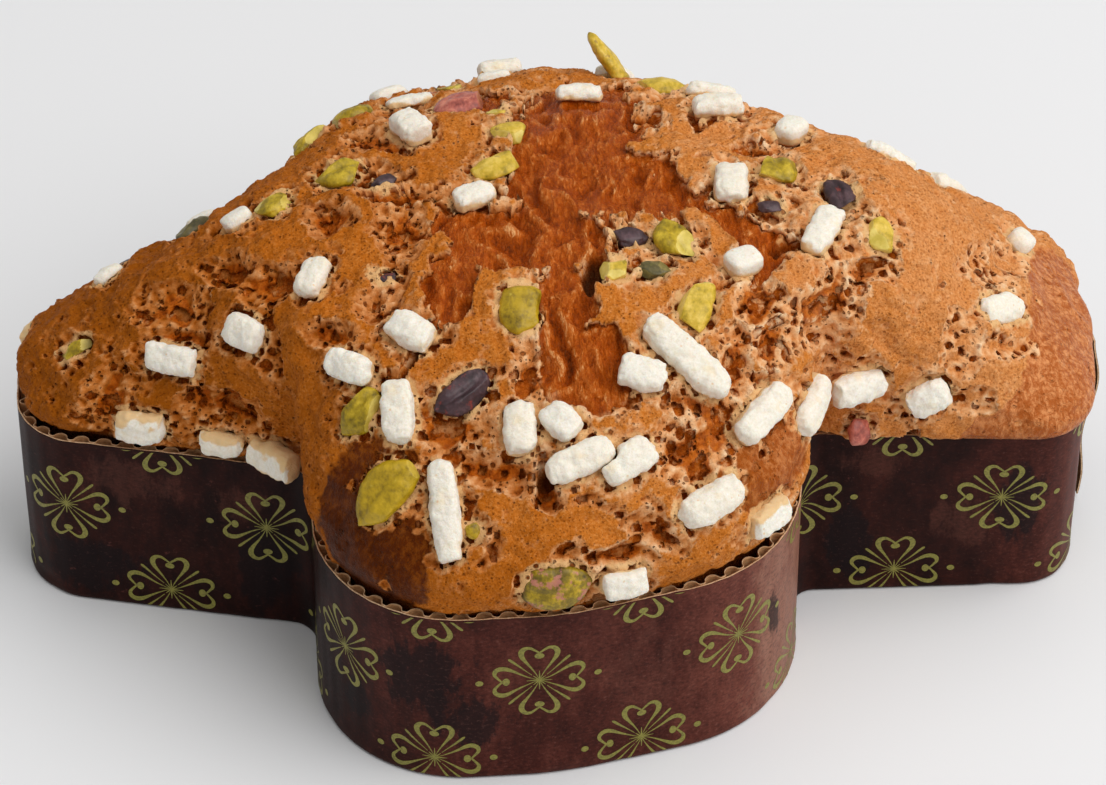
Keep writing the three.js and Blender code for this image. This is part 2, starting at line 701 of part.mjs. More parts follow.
SUGAR.forEach(([x, y, heading, length, width, z], n) => {
  const matrix = lying(x, y, heading, width * NIB_THICKNESS, NIB_SUNK, z);
  settle(numbered("sugar", n), nib(length, width, n), matrix, SUGAR_WHITE);
});

PISTACHIOS.forEach(([x, y, heading, length, width, z, kind], n) => {
  const matrix = lying(x, y, heading, width * NUT_THICKNESS, NUT_SUNK, z);
  settle(numbered("pistachio", n), nut(length, width, n + 40), matrix, NUT_COLOURS[kind]);
});

const { x: sliceX, y: sliceY, heading: sliceHeading, lift, length: sliceLength, width: sliceWidth } = STANDING_SLICE;
const sliceHeight = (sliceLength - SLICE_FOOT) * Math.sin(THREE.MathUtils.degToRad(lift));
const standing = lying(sliceX, sliceY, sliceHeading, sliceHeight, 0, null, lift);
settle("pistachio_slice", nut(sliceLength, sliceWidth, 77), standing, NUT_COLOURS.cut);

// The small bits are part of the crust, and keep clear of the pieces that lie on it.
let crust = bread;
BITS.forEach(([x, y, heading, length, width, kind], n) => {
  const sugary = kind === "sugar";
  const thickness = width * (sugary ? NIB_THICKNESS : NUT_THICKNESS);
  const geometry = sugary ? nib(length, width, n + 100) : nut(length, width, n + 140);
  let bit = placed(geometry, lying(x, y, heading, thickness, sugary ? NIB_SUNK : NUT_SUNK));
  for (const other of taken) bit = bit.subtract(other.space);
  crust = crust.add(bit);
});
add("cake", largest(crust), BREAD);

export default cake;
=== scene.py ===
"""Looks for a dove-shaped Easter cake in its fluted paper case.

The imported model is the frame: every piece stands where the model's own node stands.
Lengths are in millimetres until a mesh is made, and colours are written as they look on screen, 0 to 255.
+X runs along the dove's tail, -X along its head, and the wings spread along +Y and -Y.
"""

import json
import math

import bmesh
import bpy
import numpy as np
from bpy.props import FloatProperty, FloatVectorProperty, IntProperty, PointerProperty
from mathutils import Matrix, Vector
from mathutils.kdtree import KDTree

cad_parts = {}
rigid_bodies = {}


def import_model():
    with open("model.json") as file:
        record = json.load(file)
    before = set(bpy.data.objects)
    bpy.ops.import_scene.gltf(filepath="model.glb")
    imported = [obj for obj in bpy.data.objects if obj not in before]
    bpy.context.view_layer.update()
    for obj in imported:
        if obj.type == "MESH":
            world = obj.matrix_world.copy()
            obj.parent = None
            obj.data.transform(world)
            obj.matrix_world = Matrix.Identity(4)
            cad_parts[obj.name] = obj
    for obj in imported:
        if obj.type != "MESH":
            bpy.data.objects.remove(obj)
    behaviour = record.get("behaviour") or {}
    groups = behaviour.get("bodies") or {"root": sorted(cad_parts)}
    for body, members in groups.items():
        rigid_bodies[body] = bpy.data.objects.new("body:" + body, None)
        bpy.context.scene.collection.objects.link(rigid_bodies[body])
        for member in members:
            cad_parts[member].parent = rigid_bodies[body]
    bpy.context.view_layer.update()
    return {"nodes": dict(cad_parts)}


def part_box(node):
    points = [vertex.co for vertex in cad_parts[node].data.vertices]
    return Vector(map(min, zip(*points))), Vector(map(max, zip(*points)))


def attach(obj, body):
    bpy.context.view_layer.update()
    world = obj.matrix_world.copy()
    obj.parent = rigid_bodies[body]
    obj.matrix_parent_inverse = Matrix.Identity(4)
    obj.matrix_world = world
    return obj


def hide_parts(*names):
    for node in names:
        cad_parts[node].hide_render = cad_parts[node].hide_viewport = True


bl_info = {
    "name": "Dove cake",
    "version": (1, 0, 0),
    "blender": (4, 5, 0),
    "location": "View3D > Sidebar > Dove cake",
    "description": "Dresses the packed dove cake: paper case, burst glaze, sugar nibs and pistachios",
    "category": "Object",
}

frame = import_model()

MM = 0.001

# ------------------------------------------------------------------ sizes shared with the model's source

CASE_HEIGHT = 1000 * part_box("paper_case")[1].z
CASE_FLOOR = 1.2
LINER = 0.5
FLUTE_DEPTH = 2.0
FLUTE_PITCH = 5.8
TAIL_LEAN = 0.1
TAIL_LEAN_FROM = 66
TAIL_LEAN_TO = 120

HALF_LENGTH = 139
HALF_WIDTH = 96
HEAD_NOTCH = (-65, -38.3, 7)
TAIL_NOTCH = (60.5, -34.3, 6)
TAIL_CORNER = (134, -36.5, 15)
HALF_OUTLINE = [
    (-HALF_LENGTH, -19.3, 19),
    HEAD_NOTCH,
    (-65, -HALF_WIDTH, 38),
    (-4, -HALF_WIDTH, 60),
    (57.5, -82, 42),
    TAIL_NOTCH,
    TAIL_CORNER,
]

FLAP_STAND_OFF = 4.2
FLAP_FREE_Y = -3
FLAP_ROOT_Y = 17

SIDE_CLEARANCE = 3.76
DOME_RISE = 53
DOME_SHOULDER = 44
DOME_SHOULDER_POWER = 1.6
FALL_HEAD = (45, 108)
FALL_TAIL = (80, 54)
FALL_WING = (33, 76)
FALL_HEAD_SIDE = 0.24
FALL_TAIL_SIDE = 0.12
DOME_NOTCH_RADIUS = 26
SPINE_HALF = 86
EDGE_BULGE = 1.4
LIP_HEIGHT = 0.9
CRAG_HEIGHT = 2
CRAG_SIZE = 11

# ------------------------------------------------------------------ numbers


def smooth(low, high, value):
    """0 below low, 1 above high, with a soft step between."""
    t = np.clip((value - low) / (high - low), 0, 1)
    return t * t * (3 - 2 * t)


CORNERS = [np.array([n & 1, n >> 1 & 1, n >> 2]) for n in range(8)]


def flat_place(first, second=0.0):
    """Places for noise that varies in one or two directions only."""
    return np.stack([first, second + 0 * first, 0 * first], 1)


def sine_hash(i, j, k):
    """The model source's own repeatable number from 0 to 1 for a whole-numbered place."""
    s = np.sin(i * 127.1 + j * 311.7 + k * 74.7) * 43758.5453
    return s - np.floor(s)


def source_noise(points):
    """The model source's own smooth noise from -1 to 1, so that the crags fall in the same places."""
    base = np.floor(points)
    part = points - base
    part = part * part * (3 - 2 * part)
    total = np.zeros(len(points))
    for step in CORNERS:
        weight = np.prod(np.where(step, part, 1 - part), axis=1)
        total += weight * sine_hash(*(base + step).T)
    return 2 * total - 1


def lattice(cells, salt):
    """A repeatable number from 0 to 1 for each whole-numbered place and salt."""
    whole = cells.astype(np.int64)
    n = whole[:, 0] * 73856093 ^ whole[:, 1] * 19349663 ^ whole[:, 2] * 83492791 ^ salt * 40503
    n = (n ^ (n >> 13)) * 1274126177 & 0x7FFFFFFF
    n = (n ^ (n >> 16)) * 668265263 & 0x7FFFFFFF
    return (n ^ (n >> 11)) % 100003 / 100003


def noise(points, size, salt=1, octaves=1):
    """Smooth noise of about -1 to 1, with features of a size in millimetres."""
    total, reach = np.zeros(len(points)), 0.0
    for octave in range(octaves):
        at = points * (2**octave / np.asarray(size, float)) + 17.3 * (salt + octave)
        base = np.floor(at)
        part = at - base
        fade = part * part * part * (part * (part * 6 - 15) + 10)
        layer = np.zeros(len(points))
        for step in CORNERS:
            place = base + step
            lean = np.stack([lattice(place, salt * 3 + n) for n in range(3)], 1) * 2 - 1
            weight = np.prod(np.where(step, fade, 1 - fade), axis=1)
            layer += weight * ((part - step) * lean).sum(1)
        total += layer * 1.6 / 2**octave
        reach += 1 / 2**octave
    return total / reach**0.5


# ------------------------------------------------------------------ the outline


ARC_STEPS = 64


def rounded_path(corners):
    """Close points along half of the outline, from the middle of the head's end to that of the tail's."""
    start, end = np.array([-HALF_LENGTH, 0.0]), np.array([HALF_LENGTH, 0.0])
    stops = [start, *[np.array(c[:2], float) for c in corners], end]
    points = [start]
    for n, (x, y, radius) in enumerate(corners):
        here = np.array([x, y], float)
        incoming = here - stops[n]
        incoming /= np.linalg.norm(incoming)
        outgoing = stops[n + 2] - here
        outgoing /= np.linalg.norm(outgoing)
        turn = math.atan2(incoming[0] * outgoing[1] - incoming[1] * outgoing[0], incoming @ outgoing)
        enter = here - incoming * radius * math.tan(abs(turn) / 2)
        side = math.copysign(1, turn)
        centre = enter + np.array([-incoming[1], incoming[0]]) * side * radius
        first = math.atan2(*(enter - centre)[::-1])
        for step in range(ARC_STEPS + 1):
            angle = first + turn * step / ARC_STEPS
            points.append(centre + radius * np.array([math.cos(angle), math.sin(angle)]))
    points.append(end)
    return np.array(points)


def spaced(path, count):
    """count + 1 evenly spaced points along a path."""
    reach = np.concatenate([[0], np.cumsum(np.linalg.norm(np.diff(path, axis=0), axis=1))])
    at = np.linspace(0, reach[-1], count + 1)
    return np.stack([np.interp(at, reach, path[:, axis]) for axis in (0, 1)], 1)


def closed_outline(steps_a_half, notch_radius=None):
    """The whole outline, counter-clockwise, from the head's end along the front."""
    corners = [(x, y, notch_radius or r) if (x, y, r) in (HEAD_NOTCH, TAIL_NOTCH) else (x, y, r)
               for x, y, r in HALF_OUTLINE]
    front = spaced(rounded_path(corners), steps_a_half)
    back = front[-2:0:-1] * (1, -1)
    return np.concatenate([front, back])


def outward(points):
    """The outward normal at each point of a closed outline."""
    along = np.roll(points, -1, axis=0) - np.roll(points, 1, axis=0)
    across = np.stack([along[:, 1], -along[:, 0]], 1)
    return across / np.linalg.norm(across, axis=1)[:, None]


FINE_STEPS = 3000
FINE_OUTLINE = closed_outline(FINE_STEPS)
FINE_OUTWARD = outward(FINE_OUTLINE)
PERIMETER = np.linalg.norm(np.roll(FINE_OUTLINE, -1, axis=0) - FINE_OUTLINE, axis=1).sum()


def on_outline(along):
    """The outline's point and outward normal at a distance along it."""
    at = np.asarray(along) / PERIMETER * len(FINE_OUTLINE)
    low = np.floor(at).astype(int) % len(FINE_OUTLINE)
    high = (low + 1) % len(FINE_OUTLINE)
    part = (at - np.floor(at))[:, None]
    point = FINE_OUTLINE[low] * (1 - part) + FINE_OUTLINE[high] * part
    normal = FINE_OUTWARD[low] * (1 - part) + FINE_OUTWARD[high] * part
    return point, normal / np.linalg.norm(normal, axis=1)[:, None]


def leant(points, height):
    """The wall leans outward at the tail: where points of the outline are at a height."""
    along = np.clip((points[:, 0] - TAIL_LEAN_FROM) / (TAIL_LEAN_TO - TAIL_LEAN_FROM), 0, 1)
    share = TAIL_LEAN * along * np.clip(height / CASE_HEIGHT, 0, 1)
    return np.stack([points[:, 0], points[:, 1] * (1 + share)], 1)


# ------------------------------------------------------------------ the dome


class Swelling:
    """The dough swells like a film over the outline, as in the model's source."""

    GRID = 2
    OUTLINE_STEPS = 216
    PASSES = 420
    OVER_RELAXED = 1.93

    def __init__(self):
        self.columns = math.ceil(HALF_LENGTH / self.GRID) + 3
        self.rows = math.ceil(HALF_WIDTH / self.GRID) + 3
        x = np.arange(-self.columns, self.columns + 1) * float(self.GRID)
        y = np.arange(-self.rows, self.rows + 1) * float(self.GRID)
        place_x, place_y = np.meshgrid(x, y)
        polygon = closed_outline(self.OUTLINE_STEPS, DOME_NOTCH_RADIUS)
        free = np.zeros(place_x.shape, bool)
        for a, b in zip(polygon, np.roll(polygon, 1, axis=0)):
            crosses = (a[1] > place_y) != (b[1] > place_y)
            if crosses.any():
                edge_x = (b[0] - a[0]) * (place_y - a[1]) / (b[1] - a[1] + 1e-12) + a[0]
                free ^= crosses & (place_x < edge_x)
        parity = (np.add.outer(np.arange(len(y)), np.arange(len(x))) % 2).astype(bool)
        film = np.zeros(place_x.shape)
        for _ in range(self.PASSES):
            for colour in (parity, ~parity):
                mean = np.zeros_like(film)
                mean[1:-1, 1:-1] = (
                    film[1:-1, :-2] + film[1:-1, 2:] + film[:-2, 1:-1] + film[2:, 1:-1] + self.GRID**2
                ) / 4
                change = self.OVER_RELAXED * (mean - film)
                film = np.where(colour & free, film + change, film)
        self.film = film

    def __call__(self, x, y):
        """The film's height over a place."""
        c = np.clip(x / self.GRID + self.columns, 0, 2 * self.columns - 1)
        r = np.clip(y / self.GRID + self.rows, 0, 2 * self.rows - 1)
        i, j = np.floor(c).astype(int), np.floor(r).astype(int)
        s, t = c - i, r - j
        low = self.film[j, i] * (1 - s) + self.film[j, i + 1] * s
        high = self.film[j + 1, i] * (1 - s) + self.film[j + 1, i + 1] * s
        return low * (1 - t) + high * t


swelling = Swelling()


def fall(distance, start, length):
    """How far the dome has fallen away beyond a start, as a power of its exponential."""
    return np.maximum(0, (distance - start) / length) ** 1.5


def dome_height(x, y):
    """The height of the smooth dome over a place."""
    inwardness = np.minimum(1, np.sqrt(2 * swelling(x, y)) / DOME_SHOULDER)
    shoulder = 1 - (1 - inwardness) ** DOME_SHOULDER_POWER
    falls = fall(-x, *FALL_HEAD) + fall(x, *FALL_TAIL) + fall(np.abs(y), *FALL_WING)
    beside = np.where(x < 0, FALL_HEAD_SIDE, FALL_TAIL_SIDE) * np.abs(x * y) / HEAD_NOTCH[0] ** 2
    return CASE_HEIGHT + LIP_HEIGHT + DOME_RISE * shoulder * np.exp(-falls - beside)


def dome_normal(x, y):
    """The smooth dome's normal over a place."""
    step = 3
    dx = dome_height(x + step, y) - dome_height(x - step, y)
    dy = dome_height(x, y + step) - dome_height(x, y - step)
    normal = np.stack([-dx, -dy, np.full_like(dx, 2.0 * step)], 1)
    return normal / np.linalg.norm(normal, axis=1)[:, None]


def crags(points):
    """The broad crags of the burst glaze and the crust."""
    broad = source_noise(points / CRAG_SIZE + (0, 0, 7))
    ridge = 1 - 2 * np.abs(source_noise(points / 8 + (31, 0, 0)))
    return CRAG_HEIGHT * (0.6 * broad + 0.4 * ridge)


def overhang(points):
    """Where the bread swells over the rim: along the front of the tail and round its end."""
    tail_front = smooth(60, 76, points[:, 0]) * smooth(10, 22, -points[:, 1])
    return np.maximum(tail_front, smooth(120, 132, points[:, 0]))


def shrink(points):
    """How far the bread has shrunk from the case beyond its clearance."""
    x, y = points.T
    head = 2.2 * smooth(-100, -122, x)
    front_right = 2.6 * smooth(22, 40, x) * smooth(52, 64, -y) * (1 - smooth(56, 60, x))
    notches = [np.hypot(x - u, np.abs(y) - abs(v)) for u, v, _ in (HEAD_NOTCH, TAIL_NOTCH)]
    return head + front_right + 0.9 * (1 - smooth(6, 13, np.minimum(*notches)))


# ------------------------------------------------------------------ meshes


def new_mesh(name, points, faces):
    """A mesh from millimetre points."""
    mesh = bpy.data.meshes.new(name)
    mesh.from_pydata((np.asarray(points) * MM).tolist(), [], [list(map(int, f)) for f in faces])
    return mesh


def in_scene(name, data):
    """An object for a mesh, a light or a camera, linked into the scene."""
    made = bpy.data.objects.new(name, data)
    bpy.context.scene.collection.objects.link(made)
    return made


def make_piece(name, points, faces, materials, stands_for=(), attributes=None, face_material=None):
    """A smooth-shaded mesh piece from millimetre points. It rides on the model's body."""
    mesh = new_mesh(name, points, faces)
    for key, values in (attributes or {}).items():
        values = np.asarray(values, np.float32)
        if values.ndim == 1:
            mesh.attributes.new(key, "FLOAT", "POINT").data.foreach_set("value", values)
        else:
            mesh.attributes.new(key, "FLOAT_VECTOR", "POINT").data.foreach_set("vector", values.ravel())
    if face_material is not None:
        mesh.polygons.foreach_set("material_index", np.asarray(face_material, np.int32))
    mesh.polygons.foreach_set("use_smooth", np.ones(len(mesh.polygons), bool))
    mesh.update()
    for material in materials:
        mesh.materials.append(material)
    piece = in_scene(name, mesh)
    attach(piece, "root")
    if stands_for:
        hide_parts(*stands_for)
    return piece


def strip_faces(rows, count, closed=True, flip=False):
    """Quads between rows of points that run round a ring or along a strip."""
    faces = []
    for r in range(rows - 1):
        for n in range(count if closed else count - 1):
            m = (n + 1) % count
            quad = (r * count + n, r * count + m, (r + 1) * count + m, (r + 1) * count + n)
            faces.append(quad[::-1] if flip else quad)
    return faces


def vertex_normals(points, quads):
    """Vertex normals of a quad mesh."""
    corners = points[quads]
    face = np.cross(corners[:, 2] - corners[:, 0], corners[:, 3] - corners[:, 1])
    normal = np.zeros_like(points)
    for n in range(4):
        np.add.at(normal, quads[:, n], face)
    return normal / np.maximum(np.linalg.norm(normal, axis=1), 1e-9)[:, None]


def joined(parts):
    """Several meshes as one: points, faces and attributes of the same names."""
    points, faces, values, first = [], [], {}, 0
    for own, own_faces, own_values in parts:
        points.append(own)
        faces += [tuple(first + n for n in f) for f in own_faces]
        for key, value in own_values.items():
            values.setdefault(key, []).append(value)
        first += len(own)
    return np.concatenate(points), faces, {k: np.concatenate(v) for k, v in values.items()}


# ------------------------------------------------------------------ materials


def screen(red, green, blue):
    """A screen colour, 0 to 255, as the linear colour that a shader takes."""
    parts = [c / 255 for c in (red, green, blue)]
    return (*[c / 12.92 if c <= 0.04045 else ((c + 0.055) / 1.055) ** 2.4 for c in parts], 1.0)


class Shader:
    """A material whose nodes are written as calls."""

    def __init__(self, name, roughness=0.6, **principled):
        self.material = bpy.data.materials.new(name)
        self.material.use_nodes = True
        self.tree = self.material.node_tree
        self.surface = self.tree.nodes["Principled BSDF"]
        self.surface.inputs["Roughness"].default_value = roughness
        for socket, value in principled.items():
            self.surface.inputs[socket.replace("_", " ")].default_value = value
        self.place = self.node("ShaderNodeTexCoord").outputs["Object"]

    def node(self, kind, inputs=None, **settings):
        made = self.tree.nodes.new(kind)
        for key, value in settings.items():
            setattr(made, key, value)
        for socket, value in (inputs or {}).items():
            self.feed(made.inputs[socket], value)
        return made

    def feed(self, socket, value):
        """Give an input another node's output, or a value of its own."""
        if isinstance(value, bpy.types.NodeSocket):
            self.tree.links.new(value, socket)
        else:
            socket.default_value = value

    def attribute(self, name):
        """A number that every point of the mesh carries."""
        return self.node("ShaderNodeAttribute", attribute_name=name).outputs["Fac"]

    def vector(self, name):
        """A vector that every point of the mesh carries."""
        return self.node("ShaderNodeAttribute", attribute_name=name).outputs["Vector"]

    def math(self, operation, a, b):
        """One sum of two numbers."""
        return self.node("ShaderNodeMath", {0: a, 1: b}, operation=operation).outputs[0]

    def plus(self, a, b):
        """Two numbers added."""
        return self.math("ADD", a, b)

    def times(self, a, b):
        """Two numbers multiplied."""
        return self.math("MULTIPLY", a, b)

    def weighed(self, *terms):
        """The sum of numbers, each given with its weight."""
        total = self.times(*terms[0])
        for value, weight in terms[1:]:
            total = self.plus(total, self.times(value, weight))
        return total

    def swing(self, value, reach):
        """A noise of 0 to 1 as a push down and up, whose full range is a reach."""
        return self.times(self.math("SUBTRACT", value, 0.5), reach)

    def noise(self, size, detail=3.0, rough=0.55, place=None, stretch=None, distortion=0.0):
        """Noise with features of a size in millimetres."""
        place = place or self.place
        if stretch:
            place = self.node("ShaderNodeVectorMath", {0: place, 1: stretch}, operation="MULTIPLY").outputs[0]
        made = self.node(
            "ShaderNodeTexNoise",
            {"Vector": place, "Scale": 1000 / size, "Detail": detail, "Roughness": rough,
             "Distortion": distortion},
        )
        return made.outputs["Fac"]

    def cells(self, size):
        """The distance to the nearest cell's middle, and the cell's own number from 0 to 1."""
        made = self.node("ShaderNodeTexVoronoi", {"Vector": self.place, "Scale": 1000 / size})
        own = self.node("ShaderNodeSeparateColor", {"Color": made.outputs["Color"]})
        return made.outputs["Distance"], own.outputs[0]

    def step(self, value, low, high):
        """0 below low, 1 above high; the other way round if low is the greater."""
        made = self.node(
            "ShaderNodeMapRange",
            {"Value": value, "From Min": min(low, high), "From Max": max(low, high),
             "To Min": 0.0 if low < high else 1.0, "To Max": 1.0 if low < high else 0.0},
            interpolation_type="SMOOTHSTEP",
        )
        return made.outputs["Result"]

    def ramp(self, value, stops):
        """Screen colours by value: (place, colour) pairs."""
        made = self.node("ShaderNodeValToRGB", {"Fac": value})
        bar = made.color_ramp
        while len(bar.elements) < len(stops):
            bar.elements.new(0.5)
        for element, (place, colour) in zip(bar.elements, sorted(stops, key=lambda s: s[0])):
            element.position = place
            element.color = screen(*colour)
        return made.outputs["Color"]

    def mix(self, share, *colours):
        """Two colours mixed: the second's share goes from 0 to 1. Each is a socket or a screen colour."""
        made = self.node("ShaderNodeMix", {0: share}, data_type="RGBA")
        for socket, colour in zip((made.inputs[6], made.inputs[7]), colours):
            self.feed(socket, screen(*colour) if isinstance(colour, tuple) else colour)
        return made.outputs[2]

    def tint(self, body, share, strength, colour):
        """A body mixed with a colour, by a share of up to a strength."""
        return self.mix(self.times(share, strength), body, colour)

    def bump(self, height, distance, strength=1.0, below=None):
        """Relief of a height map whose full range is a distance in millimetres."""
        inputs = {"Height": height, "Distance": distance * MM, "Strength": strength}
        if below is not None:
            inputs["Normal"] = below
        return self.node("ShaderNodeBump", inputs).outputs["Normal"]

    def colour(self, socket):
        """Give the surface its colour."""
        self.tree.links.new(socket, self.surface.inputs["Base Color"])

    def roughness(self, socket):
        """Give the surface its roughness."""
        self.tree.links.new(socket, self.surface.inputs["Roughness"])

    def relief(self, socket):
        """Give the surface its bumps."""
        self.tree.links.new(socket, self.surface.inputs["Normal"])


# ------------------------------------------------------------------ the paper case

# How far the printed wall lies inside the outline, and how far it strays from there.
WALL_INSET = 0.12
RIPPLE = 0.05
WAVES = 0.28
DENTS = 0.7
FOOT_ROUNDING = 1.2


def wall_depth(along, height):
    """How far the printed wall lies inside the outline: the ripple of the flutes behind it, slow
    waves, and the dents of the folded base."""
    place = flat_place(along, height)
    ripple = RIPPLE * (1 + np.cos(2 * np.pi * along / FLUTE_PITCH)) * smooth(0, 12, height)
    waves = WAVES * (1 + noise(place, (38, 60, 1), 3)) * smooth(0, 10, height)
    dents = DENTS * np.maximum(0, noise(place, (11, 6, 1), 5) - 0.15) * smooth(9, 1.5, height)
    drawn_in = FOOT_ROUNDING * (1 - smooth(-0.6, 1.3, height)) ** 1.5
    return WALL_INSET + ripple + waves + dents + drawn_in


def paper_print():
    """Dark printed paper: reddish brown with near-black blotches and worn red flecks, with painted light and
    shade in its slow tone.
    """
    s = Shader("printed_paper", roughness=0.48, Specular_IOR_Level=0.07)
    strip = s.vector("strip")
    tone = s.attribute("tone")
    blotch = s.noise(14, 7, 0.74, strip, stretch=(1.0, 0.55, 1.0))
    # The tone paints light and shade along the wall as well as the print's own tone: the ramp's top is a
    # painted highlight, and the pale grain grows with it.
    shade = s.weighed((tone, 0.34), (blotch, 0.8))
    shade = s.math("SUBTRACT", shade, 0.1)
    body = s.ramp(shade, [
        (0.22, (14, 5, 4)),
        (0.36, (32, 11, 8)),
        (0.5, (54, 22, 16)),
        (0.62, (76, 34, 26)),
        (0.82, (112, 60, 48)),
        (1.0, (150, 104, 86)),
    ])
    ragged = s.noise(9, 6, 0.72, strip, stretch=(1.0, 0.4, 1.0))
    ragged = s.swing(ragged, 3.2)
    light = s.step(s.math("SUBTRACT", s.attribute("light"), ragged), 0.5, 1.0)
    body = s.tint(body, light, 0.3, (112, 66, 54))
    dark = s.step(s.plus(s.attribute("dark"), ragged), 0.5, 0.85)
    body = s.tint(body, dark, 0.8, (22, 14, 16))
    fibre = s.noise(0.9, 4, 0.7, strip, stretch=(0.7, 1.0, 1.0))
    body = s.tint(body, s.step(fibre, 0.55, 0.32), 0.5, (30, 17, 16))
    pale_grain = s.times(s.step(fibre, 0.54, 0.74), s.times(tone, 0.22))
    body = s.mix(pale_grain, body, (158, 112, 100))
    flecks = s.step(s.noise(3.2, 5, 0.75, strip), 0.6, 0.74)
    body = s.tint(body, flecks, 0.4, (128, 72, 62))
    s.colour(body)
    s.roughness(s.plus(s.times(fibre, 0.3), 0.3))
    grain = s.noise(0.6, 3, 0.6, strip)
    s.relief(s.bump(grain, 0.05, 0.5))
    return s.material


def kraft_paper():
    """The unprinted side of the paper."""
    s = Shader("kraft_paper", roughness=0.85, Specular_IOR_Level=0.2)
    grain = s.noise(1.1, 4, 0.65, stretch=(1.0, 1.0, 2.5))
    colour = s.ramp(grain, [
        (0.3, (160, 112, 72)),
        (0.55, (204, 156, 108)),
        (0.75, (226, 184, 136)),
    ])
    soaked = s.step(s.noise(9, 3), 0.42, 0.62)
    s.colour(s.tint(colour, soaked, 0.35, (136, 84, 48)))
    s.relief(s.bump(grain, 0.08, 0.6))
    return s.material


def cut_edge():
    """The pale cut edge of the rim."""
    s = Shader("cut_paper_edge", roughness=0.8, Specular_IOR_Level=0.25)
    grain = s.noise(0.7, 3, 0.6)
    s.colour(s.ramp(grain, [
        (0.3, (186, 142, 102)),
        (0.6, (226, 190, 150)),
        (0.8, (240, 212, 178)),
    ]))
    s.relief(s.bump(grain, 0.06, 0.6))
    return s.material


def gold_print():
    """Olive-gold ink, rubbed a little thin."""
    s = Shader("gold_print", roughness=0.45, Specular_IOR_Level=0.4)
    strip = s.vector("strip")
    grain = s.noise(0.7, 4, 0.7, strip)
    colour = s.ramp(grain, [(0.3, (92, 86, 34)), (0.5, (132, 126, 48)), (0.75, (156, 148, 66))])
    rubbed = s.step(s.noise(5, 3, 0.6, strip), 0.58, 0.75)
    s.colour(s.tint(colour, rubbed, 0.35, (78, 64, 36)))
    s.relief(s.bump(grain, 0.04, 0.4))
    return s.material


# How the wall goes from near black, 0, to a light reddish brown, 1 and up, by distance along the outline:
# partly the print's own tone and partly painted light, lighter at the front right and toward the tail's
# corner where the key light falls, darker in the shade near the head's notch.
PRINT_AND_PAINTED_LIGHT_TONES = [
    (0, 0.25), (20, 0.4), (70, 0.3), (100, 0.1), (125, 0.2), (146, 0.75), (172, 0.9), (215, 1.0),
    (240, 1.45), (255, 2.1), (280, 2.1), (292, 0.45), (310, 0.45), (330, 0.3), (345, 0.7), (371, 1.3),
    (385, 0.6), (400, 0.6),
]
# Smears of the print: the middle along the outline and up, and half the length and height.
DARK_SMEARS = [(157, 34, 20, 18), (170, 20, 14, 12), (137, 18, 8, 12), (252, 31, 4, 12), (30, 12, 22, 14),
               (80, 18, 14, 18), (306, 18, 10, 22), (350, 30, 10, 22)]
LIGHT_SMEARS = [(44, 43, 22, 11), (74, 40, 10, 10), (313, 45, 13, 9), (335, 24, 12, 12), (215, 30, 20, 24)]


def print_and_painted_light_values(along, height):
    """The wall's slow tone, the print's own with painted light and shade in it, and the print's dark and
    light smears; the back repeats the front.
    """
    fold = np.minimum(along, PERIMETER - along)
    values = {"tone": np.interp(fold, *np.array(PRINT_AND_PAINTED_LIGHT_TONES).T)}
    for key, smears in (("dark", DARK_SMEARS), ("light", LIGHT_SMEARS)):
        away = [np.hypot((fold - middle) / long, (height - up) / high) for middle, up, long, high in smears]
        values[key] = smooth(1.3, 0.2, np.min(away, axis=0))
    return values


def on_strip(along, height):
    """Places on the unrolled wall, in metres, for the print."""
    return flat_place(along * MM, height * MM)


def ring_points(along, depth, height):
    """Points of the wall at a distance along, a depth inside the outline and a height."""
    point, normal = on_outline(along)
    flat = leant(point - normal * depth[:, None], height)
    return np.column_stack([flat, height])


# The wall's rings below its rim, closer where it turns.
WALL_HEIGHTS = [
    0, 0.25, 0.7, 1.3, 2.2, 3.5, 5, 7, 9, 12, 15, 19, 23, 27, 31, 35, 39, 43, 46, 49, 51.5, 53.4, 54.5,
]
RIM_BELOW_TOP = 0.22
RIM_UNEVENNESS = 0.18
# The rings from the rim down inside: the share of the paper's thickness, and how far below the rim.
RIM_TURN = [(0, 0), (0.8, 0), (0.85, 3), (0.85, 24)]


def build_case_wall(settings):
    """The printed wall and base, with the paper turned in at the rim."""
    count = settings.wall_steps
    along = np.arange(count) * PERIMETER / count
    rows = []
    for height in WALL_HEIGHTS:
        z = np.full(count, float(height))
        rows.append(ring_points(along, wall_depth(along, z), z))
    rim = CASE_HEIGHT - RIM_BELOW_TOP - RIM_UNEVENNESS * noise(flat_place(along), 7, 9)
    edge = wall_depth(along, rim)
    for share, down in RIM_TURN:
        rows.append(ring_points(along, edge + LINER * share, rim - down))
    faces = strip_faces(len(rows), count)
    printed = len(WALL_HEIGHTS)
    paper = [0] * count * printed + [1] * count + [2] * count * (len(rows) - printed - 2)
    faces.append(tuple(range(count))[::-1])
    paper.append(0)
    points = np.concatenate(rows)
    place = np.tile(along, len(rows)), points[:, 2]
    return make_piece(
        "case_wall", points, faces, [paper_print(), cut_edge(), kraft_paper()],
        ["paper_case"], {"strip": on_strip(*place), **print_and_painted_light_values(*place)}, paper,
    )


# A half tube's width as a share of the pitch, its paper, and how far it starts inside the liner.
TUBE_SHARE = 0.72
TUBE_PAPER = 0.34
TUBE_GAP = 0.45
TUBE_TOP_UNEVENNESS = 0.22
# The lining's rings: the height, with 0 on the side toward the cake and 1 on the side toward the wall.
LINING_RINGS = [
    (12, 0), (30, 0), (44, 0), (51, 0), (54.2, 0), (54.72, 0), (54.72, 1), (54.2, 1), (50, 1), (40, 1),
]
LINING_TOP_RING = 5


